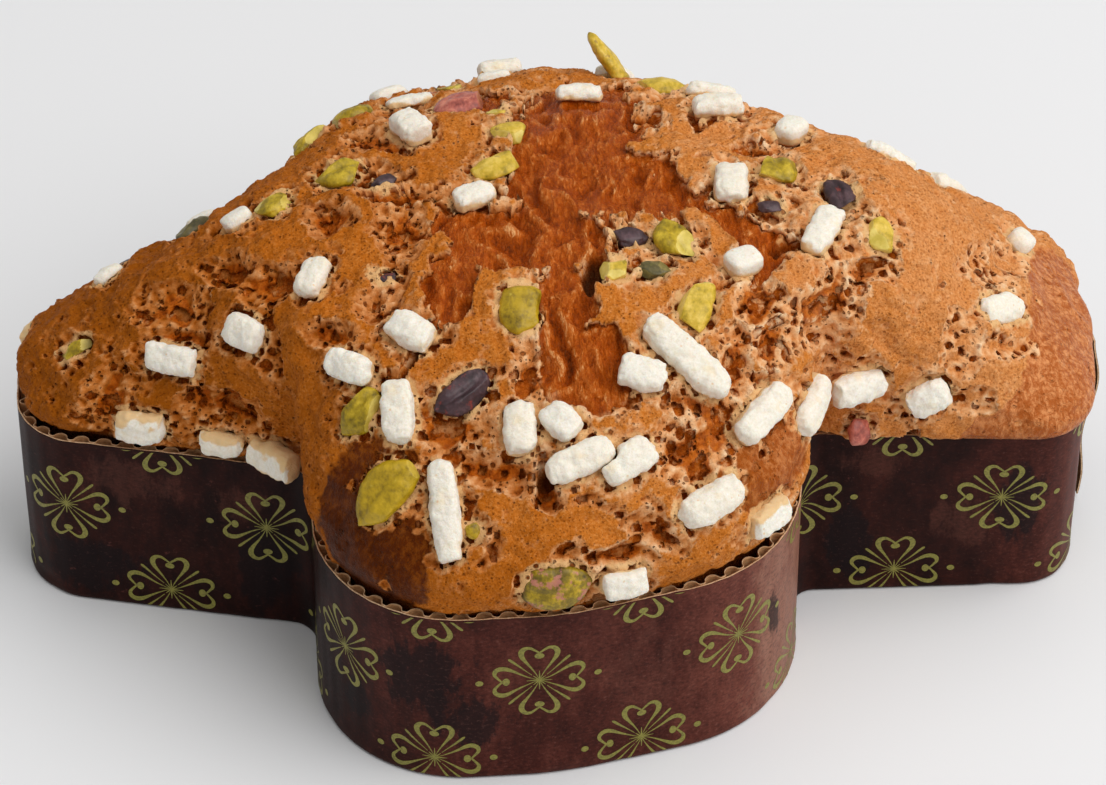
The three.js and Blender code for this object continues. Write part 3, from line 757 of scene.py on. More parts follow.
def build_lining(settings):
    """The corrugated paper inside the wall: half tubes side by side, open at the rim."""
    flutes = 2 * round(PERIMETER / 2 / FLUTE_PITCH)
    a_flute = settings.points_a_flute
    count = flutes * a_flute
    along = np.arange(count) * PERIMETER / count
    number = np.arange(count) // a_flute
    phase = (np.arange(count) % a_flute) / a_flute
    aside = np.abs(phase - 0.5) * 2 / TUBE_SHARE
    own = lattice(flat_place(number), 4)
    swell = np.sqrt(np.clip(1 - aside**2, 0, 1)) * (0.88 + 0.16 * own)
    depth = LINER + TUBE_GAP + FLUTE_DEPTH * swell
    rows = []
    for height, wallward in LINING_RINGS:
        uneven = TUBE_TOP_UNEVENNESS if height > 54 else 0
        z = height + uneven * (own - 0.5)
        rows.append(ring_points(along, wall_depth(along, z) + depth - TUBE_PAPER * wallward, z))
    faces = strip_faces(len(rows), count, flip=True)
    paper = [0] * len(faces)
    edge = count * LINING_TOP_RING
    paper[edge: edge + count] = [1] * count
    return make_piece(
        "case_lining", np.concatenate(rows), faces, [kraft_paper(), cut_edge()],
        face_material=paper,
    )


# The flap's mesh, its paper, how far its root starts inside the wall and its back in front of that.
FLAP_COLUMNS = 22
FLAP_ROWS = 30
FLAP_PAPER = 0.42
FLAP_GAP = 0.28
FLAP_ROOT_INSET = 0.4
FLAP_TONE = 0.6


def build_flap():
    """The loose end of the wall's strip: printed outside, plain inside, wavy and standing off the tail."""
    columns, rows = FLAP_COLUMNS, FLAP_ROWS
    along = np.tile(np.linspace(0, 1, columns), rows)
    height = np.repeat(np.linspace(0, 1, rows), columns)
    z = CASE_FLOOR + height * (CASE_HEIGHT - CASE_FLOOR)
    wave = 1 + 0.35 * np.sin(2 * np.pi * (height * 1.6 + 0.1))
    stand = FLAP_STAND_OFF * (0.45 + 0.55 * height) * wave
    y = FLAP_ROOT_Y + (FLAP_FREE_Y - FLAP_ROOT_Y) * along
    slope = (HALF_LENGTH - TAIL_CORNER[0]) / abs(TAIL_CORNER[1])
    wall_x = HALF_LENGTH - slope * np.abs(y)
    x = wall_x - FLAP_ROOT_INSET + stand * along**1.5
    ragged = 0.5 * noise(flat_place(z), 5, 2, 2) * along
    inner = np.stack([x + FLAP_GAP, y + ragged, z * 0.998], 1)
    outer = inner + (FLAP_PAPER, 0, 0)
    points = np.concatenate([inner, outer])
    layer = len(inner)
    sheet = strip_faces(rows, columns, closed=False)
    back = [tuple(layer + n for n in quad[::-1]) for quad in sheet]
    grid = np.arange(layer).reshape(rows, columns)
    border = [*grid[0], *grid[1:, -1], *grid[-1, -2::-1], *grid[-2:0:-1, 0]]
    edge = [(a, b, layer + b, layer + a) for a, b in zip(border, border[1:] + border[:1])]
    strip = on_strip(PERIMETER / 2 + points[:, 1], points[:, 2])
    return make_piece(
        "case_flap", points, sheet + back + edge,
        [paper_print(), kraft_paper(), cut_edge()],
        attributes={"strip": strip, "tone": np.full(len(points), FLAP_TONE)},
        face_material=[1] * len(sheet) + [0] * len(back) + [2] * len(edge),
    )


# The ornament: a four-petalled flower of open hearts. A petal's half line from the middle to its notch,
# as distances across and out, and the line's width there.
PETAL_LINE = [
    (0.2, 0.6, 0.15), (1.0, 2.4, 0.28), (2.1, 4.4, 0.5), (3.3, 6.3, 0.8), (4.3, 8.1, 1.25),
    (4.5, 9.7, 1.45), (3.7, 10.9, 1.25), (2.4, 11.1, 0.9), (1.2, 10.3, 0.65), (0.0, 9.3, 0.5),
]
PETAL_DOT = (0, 8.3, 1.25, 0.95)
# The ray between two petals, as distances out and widths.
RAY_LINE = [(2.6, 0.2), (5.0, 0.3), (8.0, 0.6), (10.2, 0.75), (10.9, 0.3)]
# The small star: its long and its short reach, and a spike's width by the share of its reach.
STAR_REACH = (3.2, 2.2)
STAR_SPIKE = [(0, 0.45), (0.5, 0.36), (1, 0.14)]
SIDE_DOT = 14.9
SIDE_DOT_SIZE = (1.0, 0.9)
CURVE_STEPS = 4
DOT_STEPS = 14
ORNAMENT_STEP = 51.5
ORNAMENT_FIRST = 26.8
# The rows' heights, and their shifts in steps along the wall.
ORNAMENT_ROWS = [(33.2, 0.0), (7.2, 0.5), (59.2, 0.5)]
INK_FROM = 0.9
INK_BELOW_RIM = 0.75


def curve_through(points):
    """Points along a smooth curve through the given ones."""
    given = np.array(points, float)
    padded = np.concatenate([[2 * given[0] - given[1]], given, [2 * given[-1] - given[-2]]])
    found = []
    for n in range(1, len(padded) - 2):
        a, b, c, d = padded[n - 1: n + 3]
        square = 2 * a - 5 * b + 4 * c - d
        cube = 3 * b - a - 3 * c + d
        for t in np.linspace(0, 1, CURVE_STEPS, endpoint=False):
            found.append(0.5 * (2 * b + (c - a) * t + square * t**2 + cube * t**3))
    found.append(given[-1])
    return np.array(found)


def brush_stroke(line):
    """A strip of quads along a line of x, y and width."""
    along = np.gradient(line[:, :2], axis=0)
    along /= np.maximum(np.linalg.norm(along, axis=1), 1e-9)[:, None]
    across = np.stack([-along[:, 1], along[:, 0]], 1) * line[:, 2:] / 2
    points = np.concatenate([line[:, :2] + across, line[:, :2], line[:, :2] - across])
    count = len(line)
    return points, [f[::-1] for f in strip_faces(3, count, closed=False)]


def spoke(turned, line):
    """A straight stroke out from the middle, from distances and widths."""
    return brush_stroke(np.array([(out * math.sin(turned), out * math.cos(turned), w) for out, w in line]))


def ink_dot(x, y, wide, high):
    """An oval dot, as a fan of triangles."""
    angle = np.arange(DOT_STEPS) * 2 * np.pi / DOT_STEPS
    ring = np.stack([x + wide * np.cos(angle), y + high * np.sin(angle)], 1)
    faces = [(DOT_STEPS, n, (n + 1) % DOT_STEPS) for n in range(DOT_STEPS)]
    return np.concatenate([ring, [[x, y]]]), faces


def flower():
    """The whole ornament, flat, as points and faces."""
    line = curve_through(PETAL_LINE)
    mirrored, mirrored_faces = brush_stroke(line * (-1, 1, 1))
    diagonal = math.pi / 4
    quarter = [
        brush_stroke(line),
        (mirrored, [f[::-1] for f in mirrored_faces]),
        ink_dot(*PETAL_DOT),
        spoke(diagonal, curve_through(RAY_LINE)),
    ]
    for turned, reach in zip((0, diagonal), STAR_REACH):
        quarter.append(spoke(turned, [(reach * share, width) for share, width in STAR_SPIKE]))
    parts = []
    for petal in range(4):
        turn = petal * math.pi / 2
        spin = np.array([[math.cos(turn), math.sin(turn)], [-math.sin(turn), math.cos(turn)]])
        parts += [(points @ spin, faces, {}) for points, faces in quarter]
    parts += [(*ink_dot(x, 0, *SIDE_DOT_SIZE), {}) for x in (-SIDE_DOT, SIDE_DOT)]
    return joined(parts)[:2]


def build_ornaments(settings):
    """The gold flowers, in rows round the wall, cut off at its foot and below its rim."""
    shape, shape_faces = flower()
    columns = round(PERIMETER / ORNAMENT_STEP)
    low, high = INK_FROM, CASE_HEIGHT - INK_BELOW_RIM
    parts = []
    for row_height, shift in ORNAMENT_ROWS:
        for column in range(columns):
            middle = ORNAMENT_FIRST + (column + shift) * PERIMETER / columns
            along = middle + shape[:, 0]
            height = row_height + shape[:, 1]
            kept = [f for f in shape_faces if low < height[list(f)].max() and height[list(f)].min() < high]
            if not kept:
                continue
            height = np.clip(height, low, high)
            depth = wall_depth(along, height) - settings.ink_height
            points = ring_points(along % PERIMETER, depth, height)
            parts.append((points, kept, {"strip": on_strip(along, height)}))
    points, faces, values = joined(parts)
    return make_piece("case_ornaments", points, faces, [gold_print()], attributes=values)


# ------------------------------------------------------------------ the crust

# Places on the top, as the photograph shows them: the middle's x and y, the heading of the long axis in
# the surface, the half length and the half width.

# Where the glaze is torn open over drawn threads of bread.
FIBROUS = [
    (10, 10, 45, 24, 20), (22, 0, -10, 15, 10), (-14, -15, -40, 17, 12), (-27, -32, 85, 13, 7),
    (-2, -17, 0, 15, 14), (0, -42, 85, 16, 7), (5, -57, 85, 12, 10), (45, -14, -45, 15, 4),
    (52, -24, 75, 9, 6), (-2, 20, 90, 16, 10), (10, 38, 85, 20, 15),
]
# Where syrup shows, wet and amber.
AMBER = [
    (-71, -19, -15, 8, 6), (-30, -65, -5, 10, 6), (-8, -82, -75, 5, 3), (40, -55, 85, 9, 4),
    (36, -67, 85, 10, 6), (9, -91, -10, 9, 3), (-95, -19, -5, 9, 3), (-83, -33, -20, 7, 5),
    (-115, -23, -25, 8, 7), (-21, 1, 45, 6, 5), (-38, 3, -10, 10, 4), (-49, 14, 25, 9, 5),
    (67, -34, -25, 6, 5), (114, -4, 40, 13, 5), (49, -40, 50, 7, 6), (30, -76, 80, 5, 5),
]
# Where the crust has no glaze, and shines.
POLISHED = [
    (-50, -80, 85, 25, 17), (133, -12, 70, 52, 17), (113, -40, 35, 13, 10),
    (50, -67, 5, 14, 10), (41, -75, -45, 14, 6),
]
# Where the glaze has burst and sunk as foam.
CRATERS = [
    (-80, 7, 0, 8, 4), (-97, -11, -20, 12, 7), (-81, -10, -40, 9, 5), (-56, -4, -25, 9, 6),
    (-38, -9, 90, 12, 7), (-48, -33, -10, 8, 6), (-57, -39, -15, 9, 4), (-43, -53, -15, 6, 4),
    (-114, -21, 5, 9, 7), (-90, -30, 25, 7, 5), (-73, -34, 80, 8, 5), (-36, -77, 85, 11, 3),
    (-21, -76, -25, 12, 5), (-9, -57, 90, 9, 6), (7, -63, -5, 12, 5), (28, -74, 5, 11, 10),
    (31, -65, 0, 9, 5), (15, -87, 90, 6, 6), (2, -92, -10, 5, 3), (65, -35, 55, 14, 12),
    (51, -48, 40, 8, 7), (49, -56, 0, 10, 3), (110, -7, 25, 18, 7), (99, -30, 85, 9, 6),
    (99, -35, -5, 11, 4), (113, -28, 10, 12, 3), (89, -37, -85, 8, 4), (54, -11, 20, 7, 7),
    (30, -83, -10, 11, 4), (20, -87, -35, 7, 4), (77, -26, 0, 8, 3), (25, 32, -10, 7, 6),
    (-42, 30, -15, 11, 5), (54, 17, 0, 8, 3),
]
# Where the glaze stays whole, whatever lies round it.
INTACT = [
    (-15, -41, 75, 10, 10), (22, -36, 70, 16, 14), (34, 18, 5, 19, 4), (-19, 27, 30, 13, 11),
    (25, -18, -50, 8, 7), (-53, -23, 90, 19, 9), (-12, -91, -5, 21, 12), (10, -83, 0, 7, 6),
    (27, -84, -30, 11, 7), (95, -9, 20, 25, 13), (85, -36, 60, 17, 14), (80, -31, 90, 10, 6),
    (-78, -32, 10, 17, 10), (-121, -8, -75, 18, 13), (59, -32, 30, 10, 6), (37, -30, 65, 10, 6),
]
# Holes under the glaze, with their depth last; the bread in them is darkened, as painted shade.
CAVES = [
    (8, -29, 80, 7, 3.2, 5.0), (-37, -48, 60, 9, 1.4, 2.4), (60, -20, 10, 8, 1.6, 2.4),
    (-48, 10, 10, 14, 1.3, 2.4), (78, -24, 5, 4, 1.4, 1.8),
    (-6, -79, 40, 5, 2.4, 2.6), (88, -40, 60, 4, 1.6, 2.0),
]


# Half a zone's thickness, so that it doesn't reach another side of the dough.
ZONE_DEPTH = 14


def zone(points, normals, rows, warp):
    """1 in the middle of any ellipse of the rows, 0 on its edge and -1 far outside."""
    best = np.full(len(points), -1.0)
    moved = points + warp
    for x, y, heading, long, wide, *_ in rows:
        middle = np.array([x, y, dome_height(np.array([float(x)]), np.array([float(y)]))[0]])
        nearest = np.argmin(((points - middle) ** 2).sum(1))
        up = normals[nearest]
        east = np.array([1.0, 0, 0]) - up * up[0]
        east /= np.linalg.norm(east)
        north = np.cross(up, east)
        turn = math.radians(heading)
        axis = east * math.cos(turn) + north * math.sin(turn)
        side = north * math.cos(turn) - east * math.sin(turn)
        away = moved - points[nearest]
        shares = away @ axis / long, away @ side / wide, away @ up / ZONE_DEPTH
        best = np.maximum(best, 1 - np.sqrt(sum(share**2 for share in shares)))
    return best


def edge_shift(over, drawn, z):
    """How far the bread's side stands out of the case's outline at a height over the rim."""
    rise = np.maximum(0, z - CASE_HEIGHT - LIP_HEIGHT)
    return EDGE_BULGE * over * np.exp(-(((rise - 3) / 6) ** 2)) - drawn * (1 - over) * np.exp(-rise / 5.5)


def evened(rows, rings):
    """The same surface with its rings moved to even steps up each column."""
    stack = np.array(rows)
    reach = np.cumsum(np.linalg.norm(np.diff(stack, axis=0, prepend=stack[:1]), axis=2), axis=0)
    share = np.linspace(0, 1, rings) ** 1.15
    out = np.empty((rings, stack.shape[1], 3))
    for column in range(stack.shape[1]):
        at = share * reach[-1, column]
        for axis in range(3):
            out[:, column, axis] = np.interp(at, reach[:, column], stack[:, column, axis])
    return list(out)


# The bread inside the case: how far it draws in, and how high.
FOOT_RINGS = [(0.6, 1.6), (0.3, 6), (0, 20), (0, 36), (0, 46), (0, 51), (0, 54)]
# Rings up the steep side over the notches, and over the top, before they are evened out.
CLIFF_RINGS = 24
TOP_RINGS = 120


def crust_rings(around, rings, foot):
    """The bread's surface as rings of points, from its foot or its lip to the spine, as in the source."""
    points = closed_outline(around // 2)
    normal = outward(points)
    drawn = SIDE_CLEARANCE + shrink(points)
    lean = leant(points, CASE_HEIGHT) - points
    rows, below = [], []
    for inset, height in FOOT_RINGS if foot else ():
        flat = leant(points, 0.0 if height < 6 else CASE_HEIGHT * smooth(4, 55, height))
        flat = flat - normal * (drawn + inset)[:, None]
        below.append(np.column_stack([flat, np.full(around, float(height))]))
    over = overhang(points)
    first = dome_height(*points.T)
    for share in np.linspace(0, 1, CLIFF_RINGS, endpoint=False):
        z = (CASE_HEIGHT + 0.5) * (1 - share) + first * share
        shift = edge_shift(over, drawn, z)
        rows.append(np.column_stack([points + lean + normal * shift[:, None], z]))
    half = np.minimum(np.arange(around), around - np.arange(around)) / (around / 2)
    spine = np.stack([(2 * half - 1) * SPINE_HALF, half * 0], 1)
    steep = np.column_stack([normal, np.full(around, 0.4)])
    steep /= np.linalg.norm(steep, axis=1)[:, None]
    for t in np.linspace(0, 1, TOP_RINGS) ** 1.5:
        flat = points * (1 - t) + spine * t
        z = dome_height(*flat.T)
        if t < 1:
            flat = flat + (lean + normal * edge_shift(over, drawn, z)[:, None]) * (1 - t)
        place = np.column_stack([flat, z])
        up = dome_normal(*flat.T) if t > 0.05 else steep
        rows.append(place + up * (crags(place) * smooth(0, 0.035, t))[:, None])
    return below + evened(rows, rings)


def crust_surface(around, rings, foot):
    """Points and quads of the bread before its fine relief. The last ring is shared along the spine."""
    rows = crust_rings(around, rings, foot)
    last = len(rows) - 1
    points = np.concatenate([*rows[:-1], rows[-1][: around // 2 + 1]])
    index = np.arange(last * around).reshape(last, around)
    seam = last * around + np.minimum(np.arange(around), around - np.arange(around))
    index = np.concatenate([index, seam[None]])
    following = np.roll(index, -1, axis=1)
    quads = np.stack([index[:-1], following[:-1], following[1:], index[1:]], -1).reshape(-1, 4)
    return points, quads


def spread(points, size, salt, octaves=1):
    """Three noises at once, to bend a place with."""
    return np.stack([noise(points, size, salt + n, octaves) for n in range(3)], 1)


def foam_holes(points, size, salt, width):
    """How far each point is, in millimetres, from the edge of the nearest hole of a foam: less than 0
    inside it. Width is the hole's share of a cell, from 0, no hole, to about 1."""
    at = (points + spread(points, size * 0.9, salt) * size * 0.4) / size + 5.7 * salt
    base = np.floor(at)
    nearest = np.full(len(points), 9.0)
    for n in range(27):
        place = base + np.array([n % 3 - 1, n // 3 % 3 - 1, n // 9 - 1])
        centre = place + np.stack([lattice(place, salt * 7 + m) for m in range(3)], 1)
        radius = (0.12 + 0.36 * lattice(place, salt * 7 + 5)) * width
        nearest = np.minimum(nearest, np.linalg.norm(at - centre, axis=1) - radius)
    return np.where(width > 0.02, nearest * size, size)


def crust_fields(points, normals, distance):
    """What each point of the top shows. crater, torn and polished are above 0 where the glaze has burst to
    foam, torn open to the bread, or never lay; cave is a depth in millimetres; the others go from 0 to 1."""
    near = smooth(4.2, 0.3, distance)
    around = smooth(9, 1, distance)
    warp = spread(points, 9, 21, 2) * 3.0
    ragged = noise(points, 5.5, 31, 3)
    fine = noise(points, 2.4, 35, 2)
    fibrous = zone(points, normals, FIBROUS, warp)
    amber = zone(points, normals, AMBER, warp * 0.6)
    polished = zone(points, normals, POLISHED, warp * 0.7) + 0.1 * ragged + 0.05 * fine
    crater = zone(points, normals, CRATERS, warp * 0.8)
    intact = zone(points, normals, INTACT, warp * 0.9)

    back = smooth(24, 42, points[:, 1])
    wild = noise(points, 30, 41, 2)
    fibrous = np.maximum(fibrous, (wild - 0.3) * 2.2 - 2 * (1 - back))
    crater = np.maximum(crater, 0.3 - np.abs(wild - 0.12) * 3 - 2 * (1 - back))
    small = noise(points, 13, 43, 2) - 0.62
    crater = np.maximum(crater, small * 1.6)
    fibrous = fibrous - np.maximum(0, intact) * 1.6
    torn = fibrous + 0.3 * ragged + 0.16 * fine
    crater = np.maximum(crater, amber + 0.25) - np.maximum(0, intact) * 0.9
    foot = np.maximum(near * 0.4, around * (0.1 + 0.75 * noise(points, 7, 47)))
    crater = np.maximum(crater, foot - 0.2) + 0.3 * ragged + 0.14 * fine
    cave = np.zeros(len(points))
    for row in CAVES:
        inside = zone(points, normals, [row], warp * 0.35) + 0.15 * ragged
        cave = np.maximum(cave, row[5] * smooth(-0.1, 0.4, inside))
    return {
        "crater": crater,
        "torn": torn,
        "polished": polished,
        "cave": cave,
        "near": near,
        "around": around,
        "tail": smooth(66, 92, points[:, 0]),
        "threads": smooth(-0.2, 0.1, torn) * smooth(-0.15, 0.15, fibrous - amber + 0.25),
    }


def shine_of(fields):
    """1 where the crust is bare and polished."""
    broken = np.maximum(fields["torn"], fields["crater"])
    return smooth(-0.14, 0.1, fields["polished"]) * smooth(0.25, -0.05, broken)


# How deep the glaze sinks in a crater, and how much less at the tail.
BASIN_DEPTH = 2.7
SHALLOWER_AT_TAIL = 0.9


def basin_of(points, fields):
    """How deep the glaze and the bread below it have sunk into each crater, and the slow folds of both."""
    folds = 0.9 * noise(points, 19, 70, 2) + 0.8 * (0.4 - np.abs(noise(points, 13, 78)) * 1.6)
    depth = BASIN_DEPTH - SHALLOWER_AT_TAIL * fields["tail"]
    return depth * smooth(-0.15, 0.85, fields["crater"]) - folds * (1 - 0.8 * shine_of(fields))


def bread_height(points, fields):
    """The bread's relief below the glaze, over the smooth dome, and where it is polished."""
    bent = points + spread(points, 16, 81, 2) * 6
    folds = 0.5 - np.abs(noise(bent, (8, 26, 15), 93, 2)) * 1.8
    crest = 0.55 - np.abs(noise(bent, (3.4, 9, 5), 91, 2)) * 1.9
    threads = noise(bent, (1.6, 5.5, 3), 92)
    grains = noise(points, 1.8, 94, 2)
    fibre = -1.4 + 2.5 * folds + 0.75 * crest + 0.25 * threads + 0.4 * grains
    syrup = -0.9 - basin_of(points, fields) + 0.6 * noise(points, 3.0, 95, 3)
    shine = shine_of(fields)
    tight = 0.1 + 0.07 * noise(bent, 3, 97, 2)
    floor = fields["threads"] * fibre + (1 - fields["threads"]) * syrup
    return shine * tight + (1 - shine) * floor - fields["cave"], shine


# The size of the foam's holes, and the millimetres that one unit of a crater's or a tear's field stands for.
LARGE_HOLES = 4.2
SMALL_HOLES = 2.5
TAPER = 8


def glaze_cover(points, fields):
    """How far, in about millimetres, each point is inside the glaze: less than 0 where there is none."""
    crater, torn = fields["crater"], fields["torn"]
    open_crater = (0.85 + 0.3 * fields["tail"] - crater) * TAPER
    open_tear = -torn * TAPER
    broken = smooth(-0.2, 0.12, np.maximum(crater, torn - 0.1))
    large = foam_holes(points, LARGE_HOLES, 3, 0.95 * broken * (1 - 0.3 * fields["tail"]))
    scattered = 0.28 * smooth(0.15, 0.7, noise(points, 12, 49))
    middle = foam_holes(points, SMALL_HOLES, 4, scattered + 1.05 * broken)
    cover = np.minimum(open_crater, open_tear)
    cover = np.minimum(cover, (0.3 - fields["cave"]) * 4)
    return np.minimum(cover, np.minimum(large, middle))


def glaze_height(points, fields):
    """The top of the glaze over the smooth dome: a skin that swells up to the edge of each crater and
    sinks into it as foam."""
    crater, torn = fields["crater"], fields["torn"]
    skin = 0.85 + 0.42 * noise(points, 6, 71, 3)
    rim = 0.8 * np.exp(-(((crater + 0.12) / 0.12) ** 2)) + 0.4 * np.exp(-(((torn + 0.1) / 0.1) ** 2))
    foam = smooth(-0.12, 0.12, np.maximum(crater, torn - 0.1))
    sink = basin_of(points, fields) + 0.5 * smooth(-0.1, 0.05, torn)
    lumps = foam * (0.6 * noise(points, 2.8, 75, 2) + 0.25 * noise(points, 1.5, 77))
    height = skin + rim - sink + lumps + 0.5 * fields["near"]
    shine = shine_of(fields)
    return height * (1 - shine) + (0.4 + 0.12 * noise(points, (5, 5, 12), 72, 2)) * shine


def neighbour_edges(quads):
    """The four sides of each quad, as pairs of points."""
    return np.concatenate([quads[:, [n, (n + 1) % 4]] for n in range(4)])


def softened(values, edges, passes):
    """Values averaged with their neighbours a few times over."""
    count = len(values)
    number = np.maximum(np.bincount(edges.ravel(), minlength=count), 1)
    for _ in range(passes):
        total = np.bincount(edges[:, 0], values[edges[:, 1]], count)
        total += np.bincount(edges[:, 1], values[edges[:, 0]], count)
        values = (values + total / number) / 2
    return values


def slope_of(values, points, edges):
    """The direction in which values grow over the surface, per millimetre."""
    step = points[edges[:, 1]] - points[edges[:, 0]]
    rate = (values[edges[:, 1]] - values[edges[:, 0]]) / np.maximum((step**2).sum(1), 1e-6)
    count = len(points)
    number = np.maximum(np.bincount(edges.ravel(), minlength=count), 1)
    slope = np.empty((count, 3))
    for axis in range(3):
        push = rate * step[:, axis]
        slope[:, axis] = np.bincount(edges[:, 0], push, count) + np.bincount(edges[:, 1], push, count)
    return slope * (2 / number)[:, None]


# What stands for the distance of a point inside the case.
FAR_FROM_TOPPINGS = 20.0


def from_toppings(points, toppings):
    """How far each point is from the nearest topping."""
    tree = KDTree(len(toppings))
    for n, place in enumerate(toppings):
        tree.insert(place, n)
    tree.balance()
    return np.array([tree.find(p)[2] if p[2] > CASE_HEIGHT else FAR_FROM_TOPPINGS for p in points])


def bake_of(points):
    """How pale the crust is: darker at the head and low down, paler along the tail."""
    along = 0.5 + points[:, 0] / 250
    return np.clip(along + 0.14 * noise(points, 26, 7, 2) + (points[:, 2] - 90) / 300, 0, 1)


# Baked sugar and egg shine warm.
WARM_SHINE = (1.0, 0.52, 0.2, 1.0)


def polished_colour(s, bake):
    """Crust without glaze: brown and shiny, with paler flecks drawn out downward. The flecks come too."""
    fine = s.noise(1.3, 5, 0.72, stretch=(1.0, 1.0, 0.5), distortion=0.5)
    streak = s.noise(3.2, 4, 0.6, stretch=(1.0, 1.0, 0.3))
    shade = s.weighed((bake, 0.8), (streak, 0.2))
    dark = s.ramp(shade, [
        (0.16, (50, 12, 0)),
        (0.4, (96, 34, 0)),
        (0.62, (154, 74, 16)),
        (0.86, (176, 92, 40)),
    ])
    light = s.ramp(shade, [
        (0.2, (88, 34, 0)),
        (0.5, (170, 92, 22)),
        (0.86, (238, 162, 104)),
    ])
    level = s.weighed((fine, 0.75), (streak, 0.25))
    return s.tint(dark, s.step(level, 0.42, 0.64), 0.8, light), level


def amber_colour(s, dip):
    """Wet syrup at the bottom of a crater."""
    # Darker where it lies low: painted shade in the hollows.
    syrup = s.weighed((s.noise(1.6, 4, 0.6), 0.6), (dip, 0.4))
    return s.ramp(syrup, [
        (0.3, (104, 36, 0)),
        (0.46, (164, 72, 4)),
        (0.58, (198, 102, 24)),
        (0.72, (232, 152, 80)),
    ])


def bread_material():
    """Bare bread in drawn threads, amber syrup at the bottom of craters, and polished crust."""
    s = Shader("baked_bread", roughness=0.3, Specular_IOR_Level=0.55, Specular_Tint=WARM_SHINE)
    bake, threads, shine = s.attribute("bake"), s.attribute("threads"), s.attribute("shine")
    dip = s.attribute("dip")
    fine = s.noise(0.8, 4, 0.7)

    bent = s.node("ShaderNodeVectorMath", {0: s.place, 1: (1.0, 0.3, 0.5)}, operation="MULTIPLY").outputs[0]
    strands = s.noise(1.0, 5, 0.7, bent, distortion=1.4)
    patches = s.noise(6.0, 3, 0.6)
    # Darker where the threads lie low and paler on their crests, as painted shade and light; the ramp's top
    # stop paints highlight flecks.
    level = s.weighed((strands, 0.6), (dip, 0.25), (patches, 0.15))
    torn = s.ramp(level, [
        (0.3, (84, 22, 0)),
        (0.42, (144, 56, 0)),
        (0.5, (172, 72, 0)),
        (0.58, (200, 102, 30)),
        (0.68, (246, 180, 116)),
    ])
    foam = s.tint(lace_colour(s, dip, bake), pores(s, 1.4, 0.8), 0.7, (130, 54, 4))
    amber = s.mix(s.step(s.noise(4.0, 4, 0.65), 0.48, 0.58), amber_colour(s, dip), foam)
    bread = s.mix(threads, amber, torn)

    gloss = polished_colour(s, bake)[0]
    colour = s.mix(s.step(shine, 0.35, 0.65), bread, gloss)
    # Painted shade: the bread darkens in the caves.
    s.colour(s.tint(colour, s.attribute("cave"), 0.8, (40, 14, 4)))
    s.roughness(s.plus(s.times(fine, 0.3), 0.12))
    s.relief(s.bump(strands, 1.0, 0.9, s.bump(fine, 0.25, 0.7)))
    return s.material


def pores(s, size, crowd):
    """Small holes of a size in millimetres. As crowd goes from 0 to 1, more of them open, and wider."""
    distance, own = s.cells(size)
    closed = s.times(s.math("SUBTRACT", 1.0, crowd), 0.3)
    wide = s.math("SUBTRACT", s.times(own, 0.42), closed)
    return s.step(s.math("SUBTRACT", distance, wide), 0.1, -0.1)


def lace_colour(s, dip, bake):
    """Foamed glaze: pale on its crests and amber in its hollows, partly its own colour and partly painted
    light on the crests and painted shade in the hollows.
    """
    level = s.weighed((dip, 0.7), (s.noise(1.5, 4, 0.6), 0.3))
    brown = s.ramp(level, [
        (0.26, (118, 50, 0)),
        (0.4, (166, 86, 18)),
        (0.54, (204, 126, 62)),
        (0.72, (236, 178, 124)),
    ])
    light = s.ramp(level, [
        (0.24, (164, 82, 24)),
        (0.38, (214, 136, 74)),
        (0.52, (238, 178, 124)),
        (0.7, (250, 216, 174)),
    ])
    return s.mix(s.step(bake, 0.15, 0.85), brown, light)


